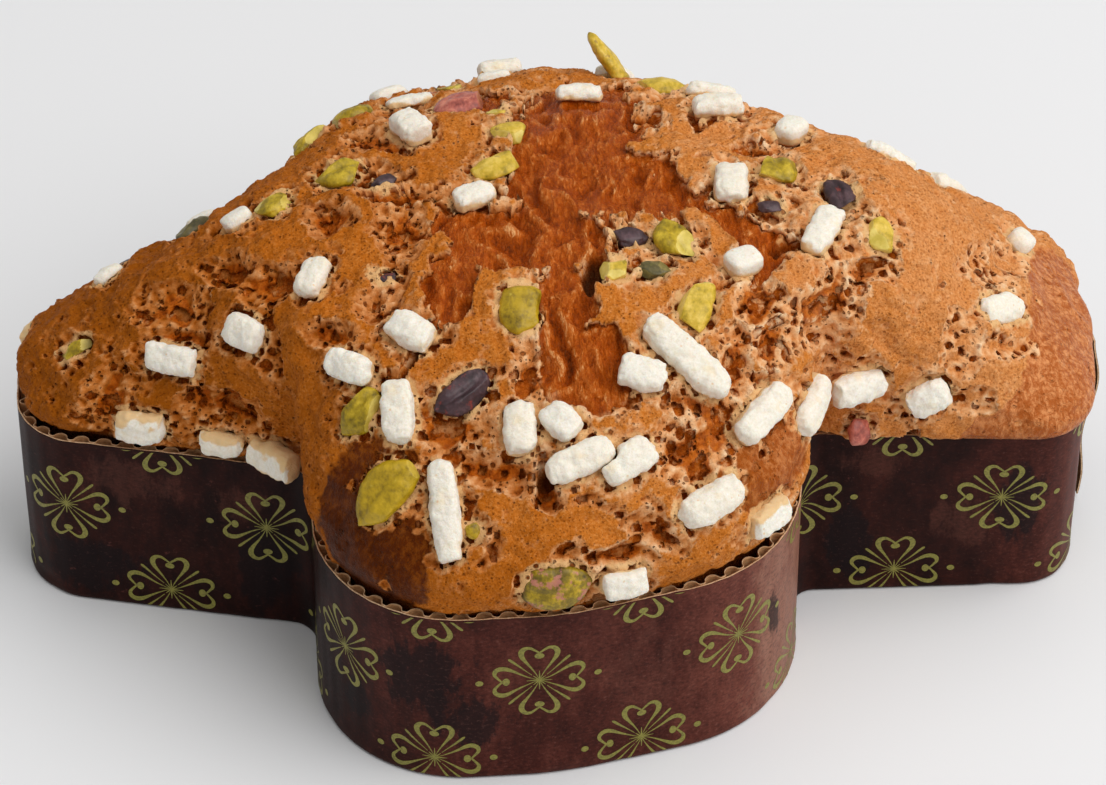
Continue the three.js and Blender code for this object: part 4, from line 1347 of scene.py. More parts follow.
def glaze_material():
    """Matt baked glaze with pinholes, paler and full of holes where it has foamed up."""
    s = Shader("baked_glaze", roughness=0.78, Specular_IOR_Level=0.2, Specular_Tint=WARM_SHINE)
    bake, pale, dip = s.attribute("bake"), s.attribute("pale"), s.attribute("dip")
    near, shine = s.attribute("near"), s.attribute("shine")
    fine = s.noise(0.7, 4, 0.7)
    medium = s.noise(3.6, 4, 0.6)
    ruffle = s.swing(s.noise(1.8, 4, 0.65), 1.1)

    shade = s.weighed((medium, 0.35), (bake, 0.65))
    matt = s.ramp(shade, [
        (0.2, (150, 78, 8)),
        (0.38, (184, 100, 22)),
        (0.58, (206, 122, 46)),
        (0.82, (220, 146, 86)),
    ])
    light = s.ramp(shade, [
        (0.2, (176, 100, 30)),
        (0.5, (218, 146, 78)),
        (0.82, (238, 178, 120)),
    ])
    matt = s.tint(matt, s.step(fine, 0.5, 0.66), 0.6, light)
    matt = s.tint(matt, s.step(fine, 0.5, 0.36), 0.45, (136, 66, 14))
    # Painted shade in the glaze's hollows.
    matt = s.tint(matt, s.step(dip, 0.42, 0.1), 0.5, (120, 56, 10))
    pits = s.math("MAXIMUM", pores(s, 0.8, 0.85), pores(s, 1.3, 0.6))
    pit_colour = s.mix(s.step(bake, 0.2, 0.85), (94, 38, 0), (160, 84, 30))
    matt = s.tint(matt, pits, 0.5, pit_colour)

    is_pale = s.step(s.plus(pale, ruffle), 0.25, 0.8)
    colour = s.mix(is_pale, matt, lace_colour(s, dip, bake))
    is_wet = s.step(s.plus(s.attribute("wet"), ruffle), 0.45, 0.8)
    colour = s.tint(colour, is_wet, 0.85, amber_colour(s, dip))

    cluster = s.step(s.noise(7, 3, 0.6), 0.4, 0.7)
    small = pores(s, 1.3, s.weighed((cluster, 0.35), (is_pale, 0.5)))
    large = pores(s, 2.2, s.weighed((cluster, 0.12), (is_pale, 0.78)))
    pins = s.math("MAXIMUM", s.times(small, 0.75), large)
    skirt = s.times(s.step(s.plus(near, ruffle), 0.55, 0.95), 0.7)
    colour = s.mix(skirt, colour, (232, 190, 132))
    deep = s.mix(s.step(bake, 0.2, 0.8), (98, 38, 0), (158, 82, 30))
    strength = s.weighed((is_pale, 0.4), (s.step(bake, 0.8, 0.3), 0.24))
    strength = s.plus(strength, 0.34)
    colour = s.tint(colour, pins, strength, deep)

    gloss, flecks = polished_colour(s, bake)
    is_shiny = s.step(s.plus(shine, s.times(ruffle, 0.6)), 0.3, 0.75)
    s.colour(s.mix(is_shiny, colour, gloss))
    glossy = s.math("MAXIMUM", s.times(is_shiny, 0.4), s.times(is_wet, 0.5))
    s.roughness(s.math("SUBTRACT", 0.78, glossy))

    grain = s.bump(fine, 0.35, 0.9, s.bump(s.noise(2.4, 3, 0.6), 1.0, 0.7))
    grain = s.bump(flecks, 0.7, 0.5, grain)
    grain = s.bump(s.math("SUBTRACT", 1.0, pits), 0.3, 0.6, grain)
    sunk = s.times(pins, s.plus(s.times(is_pale, 0.6), 0.4))
    s.relief(s.bump(s.math("SUBTRACT", 1.0, sunk), 0.6, 0.9, grain))
    return s.material


def level_in(heights, edges):
    """How high each point stands over its neighbourhood, as 0.5 and up or down; the colours paint shade into
    its hollows and light onto its crests with it.
    """
    broad = softened(heights, edges, 10)
    return np.clip(0.5 + (heights - broad) * 0.45, 0, 1)


def build_bread(settings, toppings):
    """The bread under the glaze, down to its foot in the case."""
    points, quads = crust_surface(settings.steps_around, settings.rings, True)
    normals = vertex_normals(points, quads)
    edges = neighbour_edges(quads)
    fields = crust_fields(points, normals, from_toppings(points, toppings))
    height, shine = bread_height(points, fields)
    above = smooth(CASE_HEIGHT - 1, CASE_HEIGHT + 2.5, points[:, 2])
    inside = smooth(CASE_HEIGHT + 1, CASE_HEIGHT - 3, points[:, 2])
    height = height * above
    return make_piece(
        "bread", points + normals * height[:, None], quads, [bread_material()], ["cake"],
        {
            "threads": fields["threads"],
            # Below the rim the bread takes the polished crust's colour, darkened: painted shade in the gap
            # between it and the case.
            "shine": np.maximum(shine, inside),
            "bake": bake_of(points) * (1 - 0.6 * inside),
            "dip": level_in(height, edges),
            "cave": smooth(0.5, 4, fields["cave"]),
        },
    )


# The longest pull of the glaze's edge to its line, the least the glaze stands over the bread, how far
# its edge reaches below the bread, and how far the edge is rounded off.
LONGEST_PULL = 0.6
THINNEST_GLAZE = 0.25
EDGE_BELOW_BREAD = 0.35
EDGE_ROUNDING = 0.35


def build_glaze(settings, toppings):
    """The glaze is a shell of its own, cut out where it has burst, with its edges turned down."""
    points, quads = crust_surface(settings.glaze_steps, settings.glaze_rings, False)
    normals = vertex_normals(points, quads)
    fields = crust_fields(points, normals, from_toppings(points, toppings))
    cover = glaze_cover(points, fields)
    over_rim = points[:, 2] - CASE_HEIGHT - 0.8 - 0.9 * noise(points, 3.2, 73, 2)
    cover = np.minimum(cover, over_rim)
    kept = (cover[quads] > -0.45).all(1) & (cover[quads].max(1) > 0)
    edges = neighbour_edges(quads)
    slope = slope_of(cover, points, edges)
    steepness = np.maximum((slope**2).sum(1), 0.05)
    pull = -slope * (cover / steepness)[:, None]
    length = np.linalg.norm(pull, axis=1)
    pull *= np.minimum(1, LONGEST_PULL / np.maximum(length, 1e-6))[:, None]
    placed = points + np.where((cover < 0.12)[:, None], pull, 0)
    height = glaze_height(points, fields)
    floor = bread_height(points, fields)[0]
    height = np.maximum(height, floor + THINNEST_GLAZE)
    rounded = EDGE_ROUNDING * smooth(0.9, 0.0, cover)
    top = placed + normals * (height - rounded)[:, None]

    quads = quads[kept]
    sides = np.sort(neighbour_edges(quads), axis=1)
    keys = sides[:, 0] * len(points) + sides[:, 1]
    _, first, number = np.unique(keys, return_index=True, return_counts=True)
    border = neighbour_edges(quads)[first[number == 1]]
    rim = np.unique(border)
    under = np.full(len(points), -1)
    under[rim] = len(points) + np.arange(len(rim))
    inward = slope[rim] / np.maximum(np.linalg.norm(slope[rim], axis=1), 1e-6)[:, None]
    foot = placed[rim] + normals[rim] * (floor[rim] - EDGE_BELOW_BREAD)[:, None] + inward * 0.3
    wall = np.stack([border[:, 1], border[:, 0], under[border[:, 0]], under[border[:, 1]]], 1)

    shell = np.concatenate([top, foot])
    faces = np.concatenate([quads, wall])
    broken = np.maximum(fields["crater"], fields["torn"])
    pale = np.exp(-(((broken - 0.26) / 0.34) ** 2))
    pale = np.maximum(pale, 0.9 * smooth(0.7, 0.1, cover) * smooth(-0.6, -0.2, broken))
    pale = np.maximum(pale, 0.75 * fields["around"] * smooth(-0.2, 0.6, noise(points, 9, 74, 2)))
    dip = level_in(height - rounded, edges)
    wet = smooth(0.3, 0.75, broken) * (1 - 0.65 * fields["tail"])
    pale_edge, dull_edge = np.ones(len(rim)), np.zeros(len(rim))
    values = {
        "pale": np.concatenate([pale, pale_edge]),
        # The turned-down edges get a lower value, which paints shade under the glaze's lips.
        "dip": np.concatenate([dip, dip[rim] - 0.25]),
        "bake": bake_of(shell),
        "near": np.concatenate([fields["near"], dull_edge]),
        "wet": np.concatenate([wet, pale_edge]),
        "shine": np.concatenate([shine_of(fields), dull_edge]),
    }
    used = np.unique(faces)
    renumber = np.zeros(len(shell), int)
    renumber[used] = np.arange(len(used))
    values = {key: value[used] for key, value in values.items()}
    return make_piece("glaze", shell[used], renumber[faces], [glaze_material()], attributes=values)


# ------------------------------------------------------------------ the toppings

SUGAR_NODES = sorted(n for n in frame["nodes"] if n.startswith("sugar"))
NUT_NODES = sorted(n for n in frame["nodes"] if n.startswith("pistachio"))

# What shows of each pistachio: its green or olive side, a pale cut face, or dark, red or striped skin.
NUT_KINDS = {
    "pistachio_01": "dark", "pistachio_02": "green", "pistachio_03": "green", "pistachio_04": "red",
    "pistachio_05": "cut", "pistachio_06": "cut", "pistachio_07": "green", "pistachio_08": "skin",
    "pistachio_09": "green", "pistachio_10": "cut", "pistachio_11": "olive", "pistachio_12": "green",
    "pistachio_13": "skin", "pistachio_14": "olive", "pistachio_15": "striped", "pistachio_16": "red",
    "pistachio_17": "green", "pistachio_18": "cut", "pistachio_slice": "cut",
}

# Small bits baked into the crust: x, y, heading, length, width and kind.
BITS = [
    (-79, 8, 20, 8, 6, "sugar"), (-10, 72, 0, 9, 5, "sugar"), (63, 24, 60, 9.5, 7.5, "sugar"),
    (45, -29, 25, 9.4, 7.4, "sugar"), (-122, -9, 15, 10, 4.6, "green"), (-70, 9, 35, 10, 8.5, "green"),
    (-42, 10, 44, 8, 4.6, "skin"), (-9, 27, -12, 10, 7.5, "cut"), (-12, 38, -20, 5.7, 3.4, "cut"),
    (-22, 70, 0, 9, 5, "green"), (4, 70, 0, 9, 4, "skin"), (54, -9, -7, 7, 3.6, "skin"),
    (81, -18, -64, 9.5, 7.5, "cut"), (18, -17, 10, 10, 7, "skin"), (23, -30, -3, 8.5, 5.4, "dark"),
    (13, -31, 1, 9, 7.5, "cut"), (-44, -25, -4, 7, 4, "skin"), (-26, -87, 86, 4.6, 3.6, "olive"),
    (-38, 74, 30, 10, 8, "sugar"), (24, 88, -20, 9, 7, "sugar"), (-88, 24, 10, 9, 7, "sugar"),
    (122, 12, 50, 9, 7, "sugar"), (70, 36, -30, 10, 7.5, "sugar"), (-20, 86, 15, 9, 6, "green"),
    (40, 76, 50, 10, 7, "cut"), (86, 33, 0, 8, 6, "green"), (-108, 20, 60, 8, 5, "skin"),
]


def remeshed(points, faces, voxel, passes):
    """A fine even mesh over a coarse solid, with its corners rounded off."""
    mesh = new_mesh("coarse", points, faces)
    coarse = in_scene("coarse", mesh)
    shaper = coarse.modifiers.new("voxels", "REMESH")
    shaper.mode = "VOXEL"
    shaper.voxel_size = voxel * MM
    rounder = coarse.modifiers.new("rounding", "SMOOTH")
    rounder.iterations = passes
    rounder.factor = 0.5
    graph = bpy.context.evaluated_depsgraph_get()
    fine = coarse.evaluated_get(graph).to_mesh()
    out = vertex_values(fine, "co") / MM
    polygons = [tuple(p.vertices) for p in fine.polygons]
    normals = vertex_values(fine, "normal")
    coarse.to_mesh_clear()
    bpy.data.objects.remove(coarse)
    bpy.data.meshes.remove(mesh)
    return out, polygons, normals


def vertex_values(mesh, key):
    """A vector of every vertex of a mesh, as rows."""
    values = np.empty(len(mesh.vertices) * 3)
    mesh.vertices.foreach_get(key, values)
    return values.reshape(-1, 3)


def node_mesh(name):
    """A node's own points, in millimetres, and its faces."""
    mesh = frame["nodes"][name].data
    return vertex_values(mesh, "co") / MM, [tuple(p.vertices) for p in mesh.polygons]


def welded(points, faces):
    """The same mesh with its equal points joined."""
    keys = np.round(points, 3)
    unique, back = np.unique(keys, axis=0, return_inverse=True)
    back = back.ravel()
    joined = [tuple(int(back[n]) for n in f) for f in faces]
    return unique, [f for f in joined if len(set(f)) == len(f)]


def ball(detail):
    """Points and triangles of an even ball."""
    mesh = bmesh.new()
    bmesh.ops.create_icosphere(mesh, subdivisions=detail, radius=1)
    points = np.array([v.co for v in mesh.verts])
    faces = [tuple(v.index for v in f.verts) for f in mesh.faces]
    mesh.free()
    return points, faces


def lying(x, y, heading, thickness, sunk):
    """The axes and middle of a piece that lies on the crust, as in the source."""
    flat = np.array([[x, y]], float)
    z = dome_height(*flat.T)
    up = dome_normal(*flat.T)[0]
    spot = np.array([x, y, z[0]], float)
    spot[2] += crags(spot[None])[0]
    turn = math.radians(heading)
    long = np.array([math.cos(turn), math.sin(turn), 0])
    long -= up * (long @ up)
    long /= np.linalg.norm(long)
    return np.stack([long, np.cross(up, long), up]), spot + up * thickness * (0.5 - sunk)


def bit_mesh(row, seed):
    """A small bit of sugar or nut in its place."""
    x, y, heading, length, width, kind = row
    sugary = kind == "sugar"
    thickness = width * (0.88 if sugary else 0.5)
    axes, middle = lying(x, y, heading, thickness, 0.32 if sugary else 0.36)
    points, faces = ball(4)
    swell = 1 + (0.1 if sugary else 0.2) * noise(points, 0.8, 300 + seed, 2)
    half = np.array([length, width, thickness]) / 2
    power = 0.62 if sugary else 0.8
    shape = np.sign(points) * np.abs(points) ** power * half * swell[:, None]
    return middle + shape @ axes, faces


def cut_facets(points, seed, number, depth):
    """Shave a lump with flat cuts, as a knife leaves a chopped nut, and say how deep each point was cut."""
    middle = points.mean(0)
    away = points - middle
    cut = np.zeros(len(points))
    for n in range(number):
        cell = np.array([[seed, n, 7]])
        turn = 2 * math.pi * lattice(cell, 61)[0]
        lift = 2 * lattice(cell, 62)[0] - 1
        flat = math.sqrt(1 - lift * lift)
        axis = np.array([flat * math.cos(turn), flat * math.sin(turn), lift])
        reach = away @ axis
        beyond = np.maximum(0, reach - reach.max() * (1 - depth * (0.35 + 0.65 * lattice(cell, 63)[0])))
        away = away - beyond[:, None] * axis
        cut = np.maximum(cut, beyond)
    return middle + away, cut


def own_axes(points):
    """A lump's middle, its own axes with the longest first, and its half lengths along them."""
    middle = points.mean(0)
    axes = np.linalg.svd(points - middle, full_matrices=False)[2]
    axes[0] *= -1 if axes[0] @ (1, 1, 0) > 0 else 1
    axes[2] *= -1 if axes[2][2] < 0 else 1
    reach = (points - middle) @ axes.T
    low, high = reach.min(0), reach.max(0)
    return middle + (low + high) / 2 @ axes, axes, (high - low) / 2


# A nib is measured in so many slices along its length.
NIB_SLICES = 32


def blunted(points, seed):
    """Fill out a nib's ends, so that they look broken off, and pinch its body into lumpy lengths."""
    middle, axes, half = own_axes(points)
    at = (points - middle) @ axes.T
    along = at[:, 0] / half[0]
    radius = np.linalg.norm(at[:, 1:] / half[1:], axis=1)
    slices = np.clip(((along + 1) * NIB_SLICES / 2).astype(int), 0, NIB_SLICES - 1)
    widest = np.zeros(NIB_SLICES)
    np.maximum.at(widest, slices, radius)
    body = np.median(widest[6:26])
    found = np.interp(along, (np.arange(NIB_SLICES) + 0.5) / (NIB_SLICES / 2) - 1, widest)
    wanted = body * (0.96 - 0.14 * smooth(0.86, 1.0, np.abs(along)))
    wider = np.clip(wanted / np.maximum(found, 0.2), 1, 2)
    pinch = 1 + 0.07 * noise(flat_place(at[:, 0], seed), 3.2, 210, 2)
    at[:, 1:] *= (wider * pinch)[:, None]
    broken = smooth(0.75, 1.0, np.abs(along)) * np.sign(along)
    at[:, 0] -= broken * (0.35 + 0.5 * noise(at, 3.0, 215 + seed, 2))
    return middle + at @ axes


def almond(points, seed, pointed, groove):
    """Draw a nut's ends to a point, and sink a groove along its upper side."""
    middle, axes, half = own_axes(points)
    at = (points - middle) @ axes.T
    along = at[:, 0] / half[0]
    taper = 1 - pointed * (0.62 + 0.38 * np.sign(along)) * np.abs(along) ** 2.4
    at[:, 1:] *= taper[:, None]
    bow = 0.14 * half[0] * (along**2 - 0.4) * (1 if seed % 2 else -1)
    at[:, 1] += bow
    middle_line = np.exp(-(((at[:, 1] - bow) / (0.2 * half[1])) ** 2))
    at[:, 2] -= groove * middle_line * (1 - along**2) * (at[:, 2] > 0)
    return middle + at @ axes


def height_over_crust(points):
    """How high points stand over the smooth dome."""
    return points[:, 2] - dome_height(points[:, 0], points[:, 1])


def sugar_material():
    """Puffed nib sugar: off-white and grainy, with faint orange specks and a caramel foot."""
    s = Shader("nib_sugar", roughness=0.62, Specular_IOR_Level=0.35, Subsurface_Weight=0.25,
               Subsurface_Radius=(0.0018, 0.0012, 0.0008), Subsurface_Scale=1.0)
    foot, own = s.attribute("foot"), s.attribute("own")
    grain = s.noise(0.7, 4, 0.7)
    body = s.ramp(grain, [
        (0.3, (232, 223, 204)),
        (0.5, (242, 236, 222)),
        (0.75, (251, 249, 242)),
    ])
    body = s.tint(body, own, 0.2, (232, 208, 168))
    body = s.tint(body, s.step(s.noise(6, 3, 0.6), 0.55, 0.72), 0.4, (240, 214, 162))
    distance, speck_own = s.cells(1.7)
    specks = s.times(s.step(distance, 0.26, 0.08), s.step(speck_own, 0.8, 0.9))
    body = s.tint(body, specks, 0.55, (226, 176, 110))
    ragged = s.plus(foot, s.swing(s.noise(2.2, 4, 0.65), 0.9))
    body = s.tint(body, s.step(ragged, 0.45, 0.85), 0.85, (228, 186, 122))
    s.colour(body)
    s.relief(s.bump(grain, 0.3, 0.7, s.bump(s.noise(2.2, 4, 0.6), 0.5, 0.6)))
    return s.material


# Nibs that hang over the rim and have browned on top.
TOASTED = ("sugar_08", "sugar_09", "sugar_10", "sugar_34")
# How often a remeshed nib and a nut are smoothed.
NIB_ROUNDING = 14
NUT_ROUNDING = 3


def build_sugar(settings):
    """The sugar nibs, each from its own node, and the small ones that are baked into the crust."""
    parts = []
    for number, name in enumerate(SUGAR_NODES):
        points, faces = welded(*node_mesh(name))
        points, faces, normals = remeshed(points, faces, settings.nib_voxel, NIB_ROUNDING)
        lumps = 0.42 * noise(points, 3.6, 200 + number, 1) + 0.34 * noise(points, 1.7, 240 + number, 2)
        points = blunted(points, number) + normals * (lumps - 0.1)[:, None]
        foot = smooth(4.2, 0.8, height_over_crust(points) + 1.5 * noise(points, 5, 280 + number))
        if name in TOASTED:
            upward = normals[:, 2] + 0.5 * noise(points, 4, 290 + number)
            foot = np.maximum(foot, 0.9 * smooth(0.1, 0.7, upward))
        own = np.full(len(points), lattice(np.array([[number, 3, 1]]), 8)[0])
        parts.append((points, faces, {"foot": foot, "own": own}))
    for seed, row in enumerate(BITS):
        if row[5] == "sugar":
            points, faces = bit_mesh(row, seed)
            foot = smooth(3.2, 0.2, height_over_crust(points))
            parts.append((points, faces, {"foot": foot, "own": np.full(len(points), 0.3)}))
    points, faces, values = joined(parts)
    return make_piece("sugar_nibs", points, faces, [sugar_material()], SUGAR_NODES, values)


# The outside of each kind of pistachio: dark, middle and light. A broken face is middle and light.
NUT_COLOURS = {
    "green": ((104, 86, 0), (170, 142, 8), (218, 186, 48)),
    "olive": ((116, 92, 0), (176, 144, 6), (202, 166, 26)),
    "cut": ((150, 126, 10), (208, 174, 48), (238, 204, 96)),
    "dark": ((52, 48, 22), (92, 82, 42), (130, 116, 70)),
    "skin": ((34, 20, 22), (66, 44, 48), (98, 72, 76)),
    "red": ((112, 44, 36), (176, 92, 76), (214, 136, 112)),
    "striped": ((62, 46, 8), (138, 114, 4), (206, 172, 28)),
}
NUT_INSIDE = ((206, 182, 70), (234, 212, 116))
# How far the broken inside shows on a cut face.
NUT_CUT_SHOWS = {"green": 0.75, "olive": 0.3, "cut": 0.85, "dark": 0.15, "skin": 0.0, "red": 0.1,
                 "striped": 0.1}
# The patches on each kind: their size, where they start and are full, their strength and their colour.
NUT_PATCHES = {
    "green": (3.0, 0.63, 0.72, 0.5, (206, 186, 76)),
    "olive": (3.0, 0.63, 0.72, 0.5, (206, 186, 76)),
    "cut": (3.0, 0.63, 0.72, 0.5, (92, 40, 46)),
    "dark": (3.2, 0.6, 0.7, 0.7, (120, 116, 44)),
    "skin": (3.2, 0.6, 0.7, 0.7, (142, 52, 40)),
    "red": (3.2, 0.6, 0.7, 0.7, NUT_COLOURS["red"][2]),
    "striped": (3.2, 0.52, 0.6, 0.7, (196, 118, 110)),
}
# How each kind is chopped: the cuts and their depth, how pointed it is, and its groove's depth, mm.
NUT_CUTS = {"green": (2, 0.5, 0.42, 0.9), "olive": (1, 0.3, 0.5, 0.9), "cut": (3, 0.5, 0.32, 0.0),
            "dark": (2, 0.4, 0.4, 0.6), "skin": (2, 0.5, 0.35, 1.0), "red": (3, 0.4, 0.3, 0.3),
            "striped": (1, 0.2, 0.15, 0.5)}
# The same two for a small bit.
BIT_CUTS = (7, 0.4)
# These keep the model's own shape, with neither cuts nor drawn-out ends.
NUTS_AS_MODELLED = ("pistachio_slice", "pistachio_11")
# How far a nut is filled out, to make up for its rounding and its cuts.
NUT_SWELL = 0.7
AS_MODELLED_SWELL = 0.2


def nut_material(kind):
    """A pistachio of one kind: its outside, patched, and its paler broken faces."""
    dark, middle, light = NUT_COLOURS[kind]
    s = Shader("pistachio_" + kind, roughness=0.45, Specular_IOR_Level=0.45, Subsurface_Weight=0.12,
               Subsurface_Radius=(0.0014, 0.0011, 0.0004), Subsurface_Scale=1.0)
    broad = s.noise(4.2, 3, 0.6)
    grain = s.noise(0.9, 4, 0.65, stretch=(1.0, 0.5, 1.0))
    body = s.ramp(s.weighed((broad, 0.65), (grain, 0.35)), [(0.34, dark), (0.5, middle), (0.66, light)])
    cut = s.plus(s.attribute("cut"), s.swing(grain, 0.6))
    inside = s.ramp(broad, [(0.35, NUT_INSIDE[0]), (0.6, NUT_INSIDE[1])])
    body = s.tint(body, s.step(cut, 0.35, 0.6), NUT_CUT_SHOWS[kind], inside)
    body = s.tint(body, s.attribute("foot"), 0.6, dark)
    size, low, high, strength, tint = NUT_PATCHES[kind]
    patches = s.step(s.noise(size, 4, 0.65), low, high)
    s.colour(s.tint(body, patches, strength, tint))
    s.roughness(s.plus(s.times(grain, 0.3), 0.3))
    s.relief(s.bump(grain, 0.16, 0.6, s.bump(broad, 0.6, 0.4)))
    return s.material


def nut_values(points, cut):
    """Where a nut is sunk in the crust, and where it is cut."""
    return {"foot": smooth(1.6, -0.4, height_over_crust(points)), "cut": smooth(0.02, 0.2, cut)}


def build_pistachios(settings):
    """The chopped pistachios, one piece for each kind."""
    kinds = {kind: [] for kind in NUT_COLOURS}
    stands_for = {kind: [] for kind in NUT_COLOURS}
    for number, name in enumerate(NUT_NODES):
        kind = NUT_KINDS[name]
        points, faces = welded(*node_mesh(name))
        points, faces, normals = remeshed(points, faces, settings.nut_voxel, NUT_ROUNDING)
        swell = AS_MODELLED_SWELL if name in NUTS_AS_MODELLED else NUT_SWELL
        swell = swell + 0.4 * noise(points, 4.5, 400 + number, 2)
        points = points + normals * swell[:, None]
        cut = np.zeros(len(points))
        if name not in NUTS_AS_MODELLED:
            points, cut = cut_facets(points, number, *NUT_CUTS[kind][:2])
            points = almond(points, number, *NUT_CUTS[kind][2:])
        points = points + normals * (0.16 * noise(points, 2.2, 440 + number, 2))[:, None]
        kinds[kind].append((points, faces, nut_values(points, cut)))
        stands_for[kind].append(name)
    for seed, row in enumerate(BITS):
        if row[5] != "sugar":
            points, faces = bit_mesh(row, seed)
            points, cut = cut_facets(points, 90 + seed, *BIT_CUTS)
            kinds[row[5]].append((points, faces, nut_values(points, cut)))
    for kind, parts in kinds.items():
        if parts:
            points, faces, values = joined(parts)
            materials = [nut_material(kind)]
            name = "pistachio_" + kind
            make_piece(name, points, faces, materials, stands_for[kind], values)


# ------------------------------------------------------------------ the stage

# Half the floor in millimetres and its linear colour, and the lights' sizes and places in metres.
FLOOR_HALF = 3000
FLOOR_COLOUR = (0.84, 0.84, 0.845, 1)
KEY_SIZE = 2.2
TOP_PLACE = (0.25, 0.2, 2.1)
TOP_SIZE = 2.4
LIGHTS_AIM = (0, 0, 0.05)
SENSOR_WIDTH = 36


def softbox(name, place, size, power):
    """A round soft light that faces the cake."""
    light = bpy.data.lights.new(name, "AREA")
    light.shape = "DISK"
    light.size = size
    light.energy = power
    lamp = in_scene(name, light)
    aim(lamp, Vector(place), Vector(LIGHTS_AIM))


def aim(thing, place, target):
    """Put a light or a camera in its place, and turn it to a target."""
    thing.location = place
    thing.rotation_euler = (target - place).to_track_quat("-Z", "Y").to_euler()


def build_stage(settings):
    """A plain pale floor, soft studio light and the camera."""
    half = FLOOR_HALF
    corners = [(-half, -half, 0), (half, -half, 0), (half, half, 0), (-half, half, 0)]
    floor = in_scene("floor", new_mesh("floor", corners, [(0, 1, 2, 3)]))
    s = Shader("pale_floor", roughness=0.5, Specular_IOR_Level=0.3, Base_Color=FLOOR_COLOUR)
    s.relief(s.bump(s.noise(30, 3, 0.5), 0.3, 0.1))
    floor.data.materials.append(s.material)

    world = bpy.data.worlds.new("studio")
    world.use_nodes = True
    background = world.node_tree.nodes["Background"]
    background.inputs["Color"].default_value = (1.0, 1.0, 1.0, 1)
    background.inputs["Strength"].default_value = settings.fill
    bpy.context.scene.world = world

    softbox("key_light", settings.key_place, KEY_SIZE, settings.key_power)
    softbox("top_light", TOP_PLACE, TOP_SIZE, settings.top_power)

    camera = bpy.data.cameras.new("camera")
    camera.lens = settings.lens
    camera.sensor_width = SENSOR_WIDTH
    camera.clip_start = 0.1
    camera.clip_end = 20
    eye = in_scene("camera", camera)
    aim(eye, Vector(settings.eye) * MM, Vector(settings.target) * MM)
    bpy.context.scene.camera = eye
    bpy.context.scene.view_settings.view_transform = "Standard"
    bpy.context.scene.view_settings.look = "None"


# ------------------------------------------------------------------ the add-on


class CaseSettings(bpy.types.PropertyGroup):
    """What the paper case is made with"""

    wall_steps: IntProperty(
        name="Steps round the wall", description="Points round the printed wall", default=1400, min=200
    )
    points_a_flute: IntProperty(
        name="Points a flute", description="Points across each half tube", default=14, min=6
    )
    ink_height: FloatProperty(
        name="Ink height", description="How far the print stands on the paper, mm", default=0.06
    )


class CrustSettings(bpy.types.PropertyGroup):
    """How finely the bread and the glaze are made"""

    steps_around: IntProperty(name="Steps around", description="Points round the bread", default=800, min=100)
    rings: IntProperty(
        name="Rings", description="Rings from the rim to the middle of the top", default=102, min=20
    )
    glaze_steps: IntProperty(name="Glaze steps", description="Points round the glaze", default=1120, min=100)
    glaze_rings: IntProperty(name="Glaze rings", description="Rings of the glaze", default=152, min=20)


class ToppingSettings(bpy.types.PropertyGroup):
    """How finely the toppings are made"""

    nib_voxel: FloatProperty(
        name="Sugar detail", description="Size of the sugar's mesh, mm", default=0.5, min=0.2
    )
    nut_voxel: FloatProperty(
        name="Nut detail", description="Size of the nuts' mesh, mm", default=0.42, min=0.2
    )


class StageSettings(bpy.types.PropertyGroup):
    """The lights and the camera"""

    fill: FloatProperty(
        name="Fill", description="Strength of the light from all round", default=0.415, min=0
    )
    key_power: FloatProperty(
        name="Key power", description="Power of the main light", default=28.8, min=0, unit="POWER"
    )
    top_power: FloatProperty(
        name="Top power", description="Power of the wide light overhead", default=9, min=0, unit="POWER"
    )
    key_place: FloatVectorProperty(
        name="Key place",
        description="Where the main light hangs",
        default=(1.05, -0.55, 1.6),
        subtype="TRANSLATION",
    )
    lens: FloatProperty(name="Lens", description="The camera's focal length, mm", default=146.5)
    eye: FloatVectorProperty(
        name="Eye", description="Where the camera stands, mm", default=(-66.5, -884.5, 814.8)
    )
    target: FloatVectorProperty(
        name="Target", description="What the camera looks at, mm", default=(3.8, 50.2, 0.0)
    )


class DOVE_OT_paper_case(bpy.types.Operator):
    """Make the printed wall of the paper case"""

    bl_idname = "dove.paper_case"
    bl_label = "Paper case"

    def execute(self, context):
        build_case_wall(context.scene.dove_case)
        return {"FINISHED"}


class DOVE_OT_lining(bpy.types.Operator):
    """Make the corrugated lining of the case"""

    bl_idname = "dove.lining"
    bl_label = "Corrugated lining"

    def execute(self, context):
        build_lining(context.scene.dove_case)
        return {"FINISHED"}


class DOVE_OT_flap(bpy.types.Operator):
    """Make the loose end of the wall's strip"""

    bl_idname = "dove.flap"
    bl_label = "Loose flap"

    def execute(self, context):
        build_flap()
        return {"FINISHED"}


class DOVE_OT_ornaments(bpy.types.Operator):
    """Print the gold flowers on the case"""

    bl_idname = "dove.ornaments"
    bl_label = "Gold flowers"

    def execute(self, context):
        build_ornaments(context.scene.dove_case)
        return {"FINISHED"}


class DOVE_OT_sugar(bpy.types.Operator):
    """Make the sugar nibs"""

    bl_idname = "dove.sugar"
    bl_label = "Sugar nibs"

    def execute(self, context):
        build_sugar(context.scene.dove_toppings)
        return {"FINISHED"}


class DOVE_OT_pistachios(bpy.types.Operator):
    """Make the chopped pistachios"""

    bl_idname = "dove.pistachios"
    bl_label = "Pistachios"

    def execute(self, context):
        build_pistachios(context.scene.dove_toppings)
        return {"FINISHED"}


# One in so many of the toppings' points is enough to find the nearest by.
TOPPING_STRIDE = 3


def topping_places(context):
    """Points all over the toppings, which the crust reaches round."""
    names = ("sugar_nibs", "pistachio_")
    toppings = [o for o in context.scene.objects if o.name.startswith(names) and o.name not in frame["nodes"]]
    if not toppings:
        raise RuntimeError("the toppings are made before the crust")
    return [v.co / MM for o in toppings for v in list(o.data.vertices)[::TOPPING_STRIDE]]


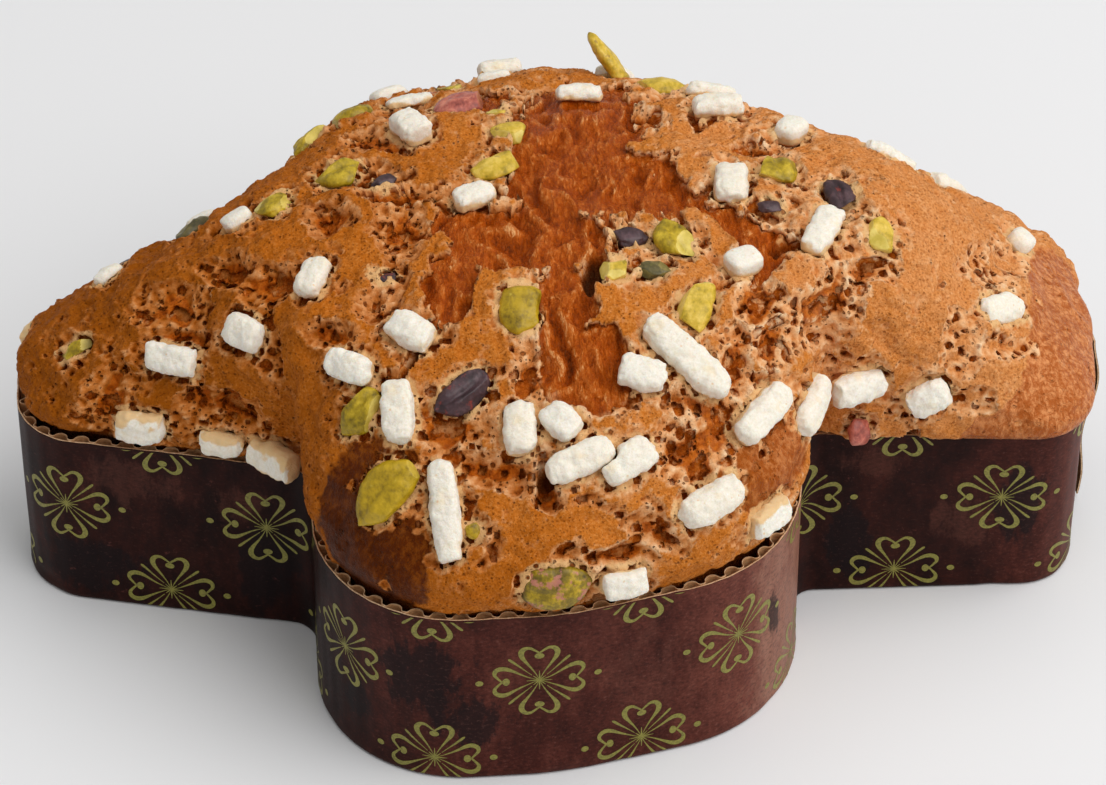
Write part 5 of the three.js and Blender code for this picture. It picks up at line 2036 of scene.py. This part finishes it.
class DOVE_OT_bread(bpy.types.Operator):
    """Make the bread, round the toppings that lie on it"""

    bl_idname = "dove.bread"
    bl_label = "Bread"

    def execute(self, context):
        build_bread(context.scene.dove_crust, topping_places(context))
        return {"FINISHED"}


class DOVE_OT_glaze(bpy.types.Operator):
    """Make the burst glaze, round the toppings that lie in it"""

    bl_idname = "dove.glaze"
    bl_label = "Glaze"

    def execute(self, context):
        build_glaze(context.scene.dove_crust, topping_places(context))
        return {"FINISHED"}


class DOVE_OT_stage(bpy.types.Operator):
    """Make the floor, the lights and the camera"""

    bl_idname = "dove.stage"
    bl_label = "Stage"

    def execute(self, context):
        build_stage(context.scene.dove_stage)
        return {"FINISHED"}


class DOVE_PT_panel(bpy.types.Panel):
    """Buttons for every piece of the cake"""

    bl_idname = "DOVE_PT_panel"
    bl_label = "Dove cake"
    bl_space_type = "VIEW_3D"
    bl_region_type = "UI"
    bl_category = "Dove cake"

    def draw(self, context):
        for operator in OPERATORS:
            self.layout.operator(operator.bl_idname)
        for name in SETTINGS:
            settings = getattr(context.scene, name)
            for prop in settings.bl_rna.properties:
                if prop.identifier not in ("rna_type", "name"):
                    self.layout.prop(settings, prop.identifier)


SETTINGS = {
    "dove_case": CaseSettings,
    "dove_crust": CrustSettings,
    "dove_toppings": ToppingSettings,
    "dove_stage": StageSettings,
}
OPERATORS = [
    DOVE_OT_paper_case,
    DOVE_OT_lining,
    DOVE_OT_flap,
    DOVE_OT_ornaments,
    DOVE_OT_sugar,
    DOVE_OT_pistachios,
    DOVE_OT_bread,
    DOVE_OT_glaze,
    DOVE_OT_stage,
]


def register():
    for name, group in SETTINGS.items():
        bpy.utils.register_class(group)
        setattr(bpy.types.Scene, name, PointerProperty(type=group))
    for operator in OPERATORS:
        bpy.utils.register_class(operator)
    bpy.utils.register_class(DOVE_PT_panel)


def unregister():
    bpy.utils.unregister_class(DOVE_PT_panel)
    for operator in reversed(OPERATORS):
        bpy.utils.unregister_class(operator)
    for name, group in SETTINGS.items():
        delattr(bpy.types.Scene, name)
        bpy.utils.unregister_class(group)


def main():
    """Make every piece in turn."""
    register()
    for operator in OPERATORS:
        area, name = operator.bl_idname.split(".")
        getattr(getattr(bpy.ops, area), name)()


if __name__ == "__main__":
    main()
